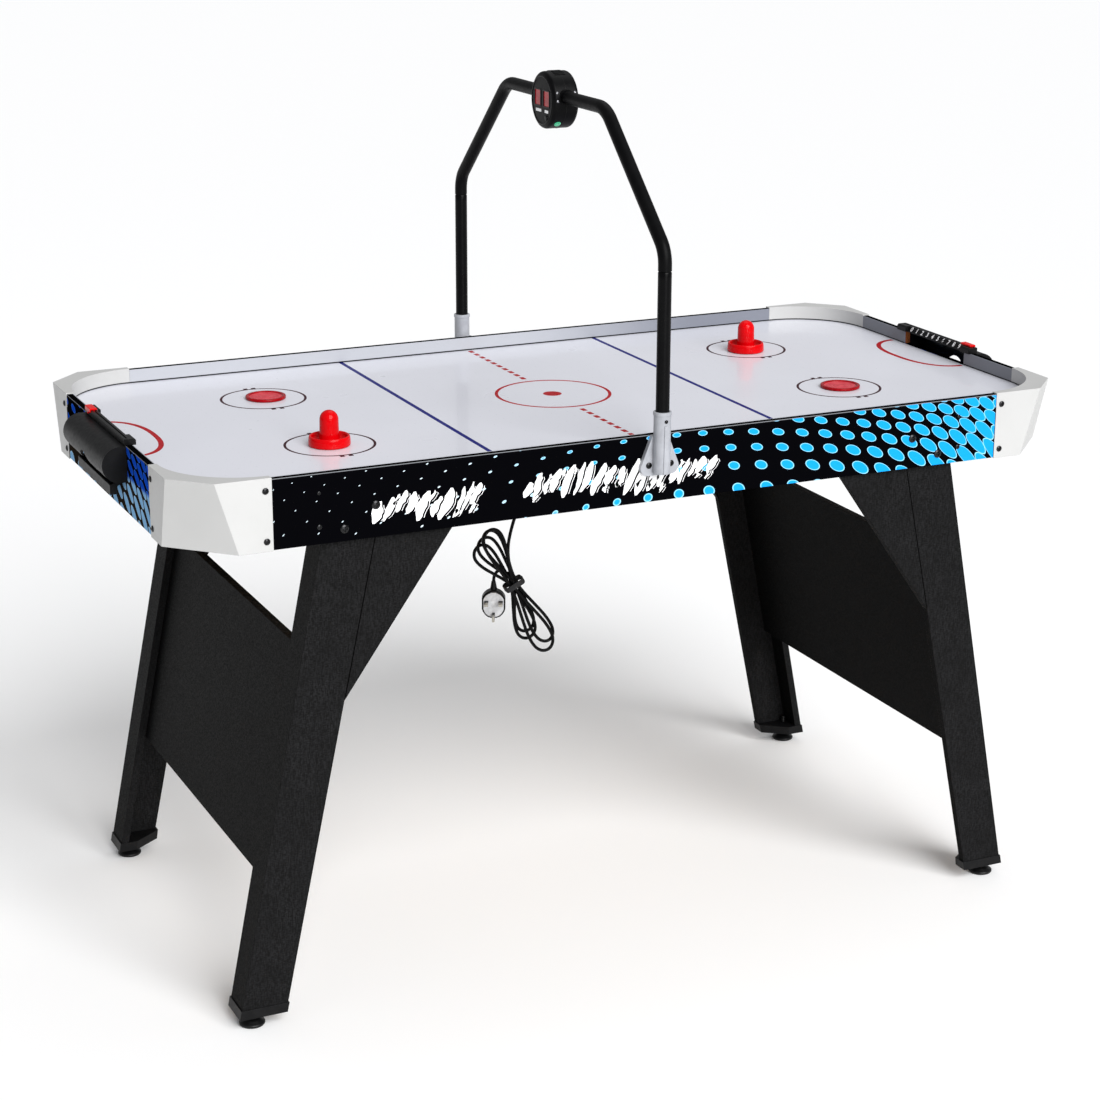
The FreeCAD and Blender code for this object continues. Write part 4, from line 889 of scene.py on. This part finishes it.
def make_shards():
    """Torn white splinters in two loose flights, with a thin broken line beside each."""
    draw = random.Random(54)
    splinters = []
    for start, end in ((-414, -262), (-196, 92)):
        x = start
        while x < end:
            share = (x - start) / (end - start)
            width = draw.uniform(6, 15)
            z = 727 + 5 * math.sin(7 * share) + draw.uniform(-4, 4) + (x + 160) * 0.012
            length = draw.uniform(26, 50) * (0.75 + 0.25 * math.sin(math.pi * share))
            splinters.append(shard(draw, x, z, length, width))
            if draw.random() < 0.55:
                chip = z + draw.choice((-1, 1)) * draw.uniform(9, 15)
                splinters.append(shard(draw, x + width * 0.95, chip, draw.uniform(8, 15), draw.uniform(3, 5)))
            x += width * 0.62 + draw.uniform(7, 11)
    for face, sign in FACES.items():
        def lift(a, b, h, s=sign):
            return (-s * a, s * (WALL_Y + APRON_OUT + h), b)

        fill, edge = Shape(), Shape()
        for left, right in splinters:
            for k in range(len(left) - 1):
                fill.prism([left[k], right[k], right[k + 1], left[k + 1]], -0.1, 0.12, lift)
            for k in range(1, len(right) - 2):
                (a, b), (c, d) = right[k], right[k + 1]
                edge.prism([(a + 2.2, b - 1.6), (a + 3.1, b - 1.6), (c + 3.1, d - 1.6), (c + 2.2, d - 1.6)],
                           -0.1, 0.08, lift)
        fill.make(f"apron_shards_{face}", "white_print", "black_laminate")
        edge.make(f"apron_shard_lines_{face}", "white_print", "black_laminate")


# ---- goals ----

def add_text(text, place, turn, size, depth):
    """The faces of a short text as a solid, in millimetres."""
    data = bpy.data.curves.new("number", "FONT")
    data.body = text
    data.size = size * MM
    data.align_x = data.align_y = "CENTER"
    data.extrude = depth * MM
    data.offset = 0.02 * size * MM
    data.shear = 0.25
    probe = add_object("number", data)
    mesh = bpy.data.meshes.new_from_object(probe)
    points = [turn @ (v.co / MM) + Vector(place) for v in mesh.vertices]
    faces = [list(p.vertices) for p in mesh.polygons]
    bpy.data.objects.remove(probe)
    bpy.data.meshes.remove(mesh)
    bpy.data.curves.remove(data)
    return points, faces


def make_goals():
    for side, sign in SIDES.items():
        finish_node(f"goal_bar_{side}", "bar_moulding", 0.5)
        finish_node(f"score_slider_{side}", "red_marker", 0.4)
        finish_node(f"goal_hood_{side}", "hood_moulding", 1.0, 4)
        finish_node(f"goal_tray_{side}", "black_moulding", 0.5)
        inner = Vector((sign * (WALL_X - 0.5), 0, APRON_TOP + 1.5))
        upper = Vector((sign * (WALL_X + 3.5), 0, BAR_TOP))
        up = (upper - inner).normalized()
        right = Vector((0, -sign, 0))
        normal = right.cross(up)
        turn = Matrix((right, up, normal)).transposed()
        digits = Shape()
        for value in range(10):
            y = sign * (68 - 15.1 * value)
            place = (inner + upper) / 2 + Vector((0, y, 0)) + normal * 0.02
            digits.add(*add_text(str(value), place, turn, 10.6, 0.12))
        digits.make(f"bar_digits_{side}", "white_print", "black_plastic")


# Pucks and pushers stand this high, just clear of the field.
GLIDE_Z = FIELD_TOP + 0.1
PUCK_PLACES = {"left": (-400, 155, GLIDE_Z), "right": (417, -134, GLIDE_Z)}
PUSHER_PLACES = {"left": (-406, -138, GLIDE_Z), "right": (408, 143, GLIDE_Z)}


def make_pucks():
    rim = [(0, 0.5), (24, 0.4), (28.6, 0), (29.5, 0.3), (30, 0.9), (30, 3.7), (29.6, 4.3), (28.9, 4.6),
           (26.2, 4.6), (25.2, 4.3), (24.5, 3.5), (24.2, 2.6), (0, 2.5)]
    disc = [(0, 2.4), (24.3, 2.4), (24.3, 2.9)]
    for k in range(4):
        radius = 22.4 - 5.2 * k
        disc += [(radius, 2.9), (radius - 0.5, 2.6), (radius - 1.1, 2.6), (radius - 1.6, 2.9)]
    disc += [(0, 2.9)]
    for side, place in PUCK_PLACES.items():
        name = f"puck_{side}"
        ring = Shape().lathe(rim, place, sides=120)
        ring.make(f"{name}_ring", "puck_rim", "red_plastic", name, [name], sharp=60)
        face = Shape().lathe(disc, place, sides=120)
        face.make(f"{name}_face", "puck_top", "red_plastic", name, sharp=60)


def make_pushers():
    profile = [(0, 0.2), (24, 0.2), (26.6, 0), (28.4, 0.3), (29.3, 1.4), (29.5, 2.8), (29.4, 6), (29.1, 9.5),
               (28.75, 12), (28.3, 13.3), (27.6, 14.1), (26.8, 14.3), (26.0, 13.9), (25.4, 12.8),
               (25.0, 10.8), (24.4, 8.4), (23.4, 6.9), (21.6, 6.0), (19, 5.6), (16.6, 5.7), (15.2, 6.3),
               (14.5, 7.5), (14.1, 9.6), (13.8, 14), (13.5, 22), (13.3, 30), (13.2, 36.8)]
    profile += [(r, 36.8 + h) for r, h in arc((0, 0), 13.2, 4, 87, 16)]
    profile += [(0, 50)]
    for side, place in PUSHER_PLACES.items():
        name = f"pusher_{side}"
        pusher = Shape().lathe(profile, place, sides=120)
        pusher.make(f"{name}_turned", "red_moulding", "red_plastic", name, [name], sharp=60)


# ---- overhead scorer ----

def tube_path(sign):
    """The arch's middle line from the socket to the scoreboard."""
    slant = 47.5
    lean = math.radians(slant)
    low_bend, high_bend, straight, tip = 42.0, 55.0, 282.0, 32.0
    foot = Vector((SOCKET_Y, 738.0))
    low_start = foot + Vector((0, straight))
    low_centre = low_start - Vector((low_bend, 0))
    aslant = Vector((-math.sin(lean), math.cos(lean)))
    low_end = low_centre + Vector((math.cos(lean), math.sin(lean))) * low_bend
    rise = TUBE_Z - high_bend + high_bend * math.sin(lean) - low_end.y
    high_start = low_end + aslant * (rise / aslant.y)
    high_centre = high_start - Vector((math.cos(lean), math.sin(lean))) * high_bend
    path = [foot + Vector((0, straight * k / 12)) for k in range(13)]
    path += [Vector(p) for p in arc(low_centre, low_bend, 0, slant, 14)[1:]]
    path += [low_end.lerp(high_start, k / 12) for k in range(1, 13)]
    path += [Vector(p) for p in arc(high_centre, high_bend, slant, 90, 14)[1:]]
    path += [Vector((high_centre.x + (tip - high_centre.x) * k / 4, TUBE_Z)) for k in range(1, 5)]
    return [Vector((0, sign * p.x, p.y)) for p in path]


TUBE_JOINT = 1012.0


def make_tubes():
    """Each half of the arch in two pieces that meet at a fine groove."""
    for face, sign in FACES.items():
        path = tube_path(sign)
        y = path[0].y
        heights = (738, 760, 818, 880, 940, 1000, TUBE_JOINT - 2, TUBE_JOINT - 0.6)
        radii = [TUBE_RADIUS] * (len(heights) - 1) + [TUBE_RADIUS - 0.7]
        lower = Shape().sweep([Vector((0, y, z)) for z in heights], radii, 48)
        lower.make(f"scorer_tube_{face}_lower", "tube_gloss", "tube_black",
                   replaces=[f"scorer_tube_{face}"], sharp=50)
        neck = [Vector((0, y, z)) for z in (TUBE_JOINT - 1.2, TUBE_JOINT, TUBE_JOINT + 0.7)]
        rest = [p for p in path if p.z > TUBE_JOINT + 2 or abs(p.y) < abs(y) - 0.01]
        radii = [TUBE_RADIUS - 1.0, TUBE_RADIUS - 0.9] + [TUBE_RADIUS] * (1 + len(rest))
        upper = Shape().sweep(neck + rest, radii, 48)
        upper.make(f"scorer_tube_{face}_upper", "tube_satin", "tube_black", sharp=50)


def make_brackets():
    for face, sign in FACES.items():
        finish_node(f"scorer_bracket_{face}", "bracket_grey", 0.9, 3)
        collar = Shape()
        collar.lathe([(9.7, 0), (12.6, 0), (12.9, 0.5), (12.9, 4.2), (12.4, 4.9), (10.1, 5.2), (9.7, 4.8),
                      (9.7, 0)], (0, sign * SOCKET_Y, 813.4), sides=56)
        outline = [(-3.2, 732), (3.2, 732), (2.4, 800), (-2.4, 800)]
        collar.prism(outline, 0, 2.4, lambda a, b, h: (a, sign * (SOCKET_Y + 10.6 + h), b))
        collar.make(f"bracket_rib_{face}", "bracket_grey", "bracket_grey", bevel=0.5, sharp=50)


def make_scoreboard():
    for side, sign in SIDES.items():
        finish_node(f"scoreboard_shell_{side}", "scorer_moulding", 0.5)
        face_x = sign * DRUM_HALF

        def lift(a, b, h, s=sign, x=face_x):
            return (x + s * h, -s * a, DRUM_Z + b)

        trim = Shape()
        ridge = [(33.2, -0.4), (33.2, 0.5), (33.8, 0.9), (34.6, 0.9), (35.2, 0.5), (35.2, -0.4)]
        trim.lathe(ridge, (face_x, 0, DRUM_Z), (sign, 0, 0), sides=96)
        for way in (-1, 1):
            middle = way * 14.75
            outer = [(a + middle, b + 3) for a, b in rounded_rectangle(11.2, 12.4, 1.6, 4)]
            inner = [(a + middle, b + 3) for a, b in rounded_rectangle(9.5, 10.8, 0.8, 4)]
            trim.band(outer, inner, -0.6, 0.7, lift)
        trim.make(f"scoreboard_trim_{side}", "bar_moulding", "black_plastic", sharp=40)

        labels = Shape()
        for a, wide in ((-15.5, 11.5), (11.5, 18.0)):
            label = [(u + a, v - 15) for u, v in rounded_rectangle(wide / 2, 2.1, 0.6, 3)]
            labels.prism(label, -0.2, 0.25, lift)
        labels.make(f"scoreboard_labels_{side}", "white_print", "black_plastic")
    finish_node("display_windows", "window_red", 0.4)
    finish_node("scoreboard_circuit_boards", "circuit_board")

    collars = Shape()
    for sign in FACES.values():
        ring = [(9.7, 0), (11.7, 0), (11.9, 0.6), (11.7, 3.4), (11.2, 4.2), (9.9, 4.2), (9.7, 0)]
        collars.lathe(ring, (0, sign * 36.5, TUBE_Z), (0, sign, 0), sides=56)
    collars.make("scoreboard_collars", "scorer_moulding", "black_plastic", sharp=45)

    ribs = Shape()
    for k in range(9):
        angle = math.radians(66 + 6 * k)
        way = Vector((0, math.cos(angle), math.sin(angle)))
        side = Vector((0, -math.sin(angle), math.cos(angle)))

        def lift(a, b, h, w=way, s=side):
            return Vector((a, 0, DRUM_Z)) + w * (DRUM_RADIUS + h) + s * b

        ribs.prism(rounded_rectangle(8.5, 0.9, 0.8, 4), -0.6, 0.8, lift)
    ribs.make("scoreboard_top_ribs", "scorer_moulding", "black_plastic", sharp=40)

    low, high = DRUM_RADIUS - 0.6, DRUM_RADIUS + 0.25
    outline = [(low, -0.35), (high, -0.35), (high, 0.35), (low, 0.35)]
    seam = Shape().lathe(outline, (0, 0, DRUM_Z), (1, 0, 0), sides=128)
    seam.make("scoreboard_seam", "bar_moulding", "black_plastic", sharp=40)

    screws = Shape()
    for sign in FACES.values():
        for x, tilt in ((-14, 20), (14, 20), (-14, 3), (14, 3)):
            angle = math.radians(tilt)
            way = Vector((0, sign * math.cos(angle), math.sin(angle)))
            add_pan_head(screws, Vector((x, 0, DRUM_Z)) + way * (DRUM_RADIUS - 0.6), way, 2.1, 1.4)
    screws.make("scoreboard_screws", "motor_steel", "motor_steel", sharp=45)

    cap = [(0, -4.2), (3.7, -4.2), (4, -3.9), (4, 0.9), (3.6, 1.5), (2.6, 1.8), (0, 1.8)]
    reset = Shape().lathe(cap, (-DRUM_HALF, -16, 1177), (-1, 0, 0), sides=40)
    reset.make("reset_button_cap", "bar_moulding", "black_plastic", "reset_switch", ["reset_button"],
               sharp=40)
    angle = math.radians(39)
    way = Vector((0, -math.sin(angle), -math.cos(angle)))
    # A low dome with its top cut flat.
    lens = [(0, -6), (5, -6), (5, 0.2)] + arc((0, -1.2), 5.1, 16, 86, 9) + [(0, 3.9)]
    lens = [(radius, min(height, 1.2)) for radius, height in lens]
    power = Shape().lathe(lens, Vector((-8, 0, DRUM_Z)) + way * DRUM_RADIUS, way, sides=40)
    power.make("power_button_lens", "button_green", "button_green", "power_switch", ["power_button"],
               sharp=50)


# ---- camera and room ----

CAMERA_PLACE = (-1.5143, -3.2433, 1.6406)
CAMERA_TURN = (1.2672, -0.00339, -0.43443)
LENS, SENSOR_WIDTH = 80.41, 36


def make_camera():
    """The view, placed in metres and turned in radians."""
    data = bpy.data.cameras.new("view")
    data.lens = LENS
    data.sensor_width = SENSOR_WIDTH
    data.clip_start, data.clip_end = 0.1, 300
    camera = add_object("view", data)
    camera.location = CAMERA_PLACE
    camera.rotation_euler = CAMERA_TURN
    scene.camera = camera


FLOOR_REACH, FLOOR_Z = 80.0, -0.0005
# Name, place, size and power, in metres and watts.
SOFTBOXES = (("front_softbox", (-0.2, -3.9, 1.25), 2.0, 26), ("top_softbox", (0.6, 0.6, 3.0), 1.6, 9))


def make_stage():
    """A pale floor, a pale sky, a soft sun and two softboxes that face the table; places in metres."""
    data = bpy.data.meshes.new("pale_floor")
    corners = ((-1, -1), (1, -1), (1, 1), (-1, 1))
    data.from_pydata([(x * FLOOR_REACH, y * FLOOR_REACH, FLOOR_Z) for x, y in corners], [], [(0, 1, 2, 3)])
    floor = add_object("pale_floor", data)
    data.materials.append(Paint("floor_paint", (251, 251, 251), 0.9, specular=0.1).material)

    scene.world = bpy.data.worlds.new("studio")
    scene.world.use_nodes = True
    sky = scene.world.node_tree.nodes["Background"]
    sky.inputs["Color"].default_value = (0.97, 0.98, 1.0, 1)
    sky.inputs["Strength"].default_value = 0.37

    sun_data = bpy.data.lights.new("soft_key", "SUN")
    sun_data.energy = 3.7
    sun_data.angle = math.radians(44)
    sun = add_object("soft_key", sun_data)
    sun.rotation_euler = (math.radians(55), 0, math.radians(8))

    for name, place, size, power in SOFTBOXES:
        light_data = bpy.data.lights.new(name, "AREA")
        light_data.size = size
        light_data.energy = power
        light = add_object(name, light_data)
        light.location = place
        light.rotation_euler = (Vector((0, 0, 0.75)) - Vector(place)).to_track_quat("-Z", "Y").to_euler()


make_camera()
make_materials()
make_cord()
dress_boards()
make_feet()
make_screws()
make_field_lines()
make_shards()
make_goals()
make_pucks()
make_pushers()
make_tubes()
make_brackets()
make_scoreboard()
make_stage()
scene.view_settings.view_transform = "Standard"
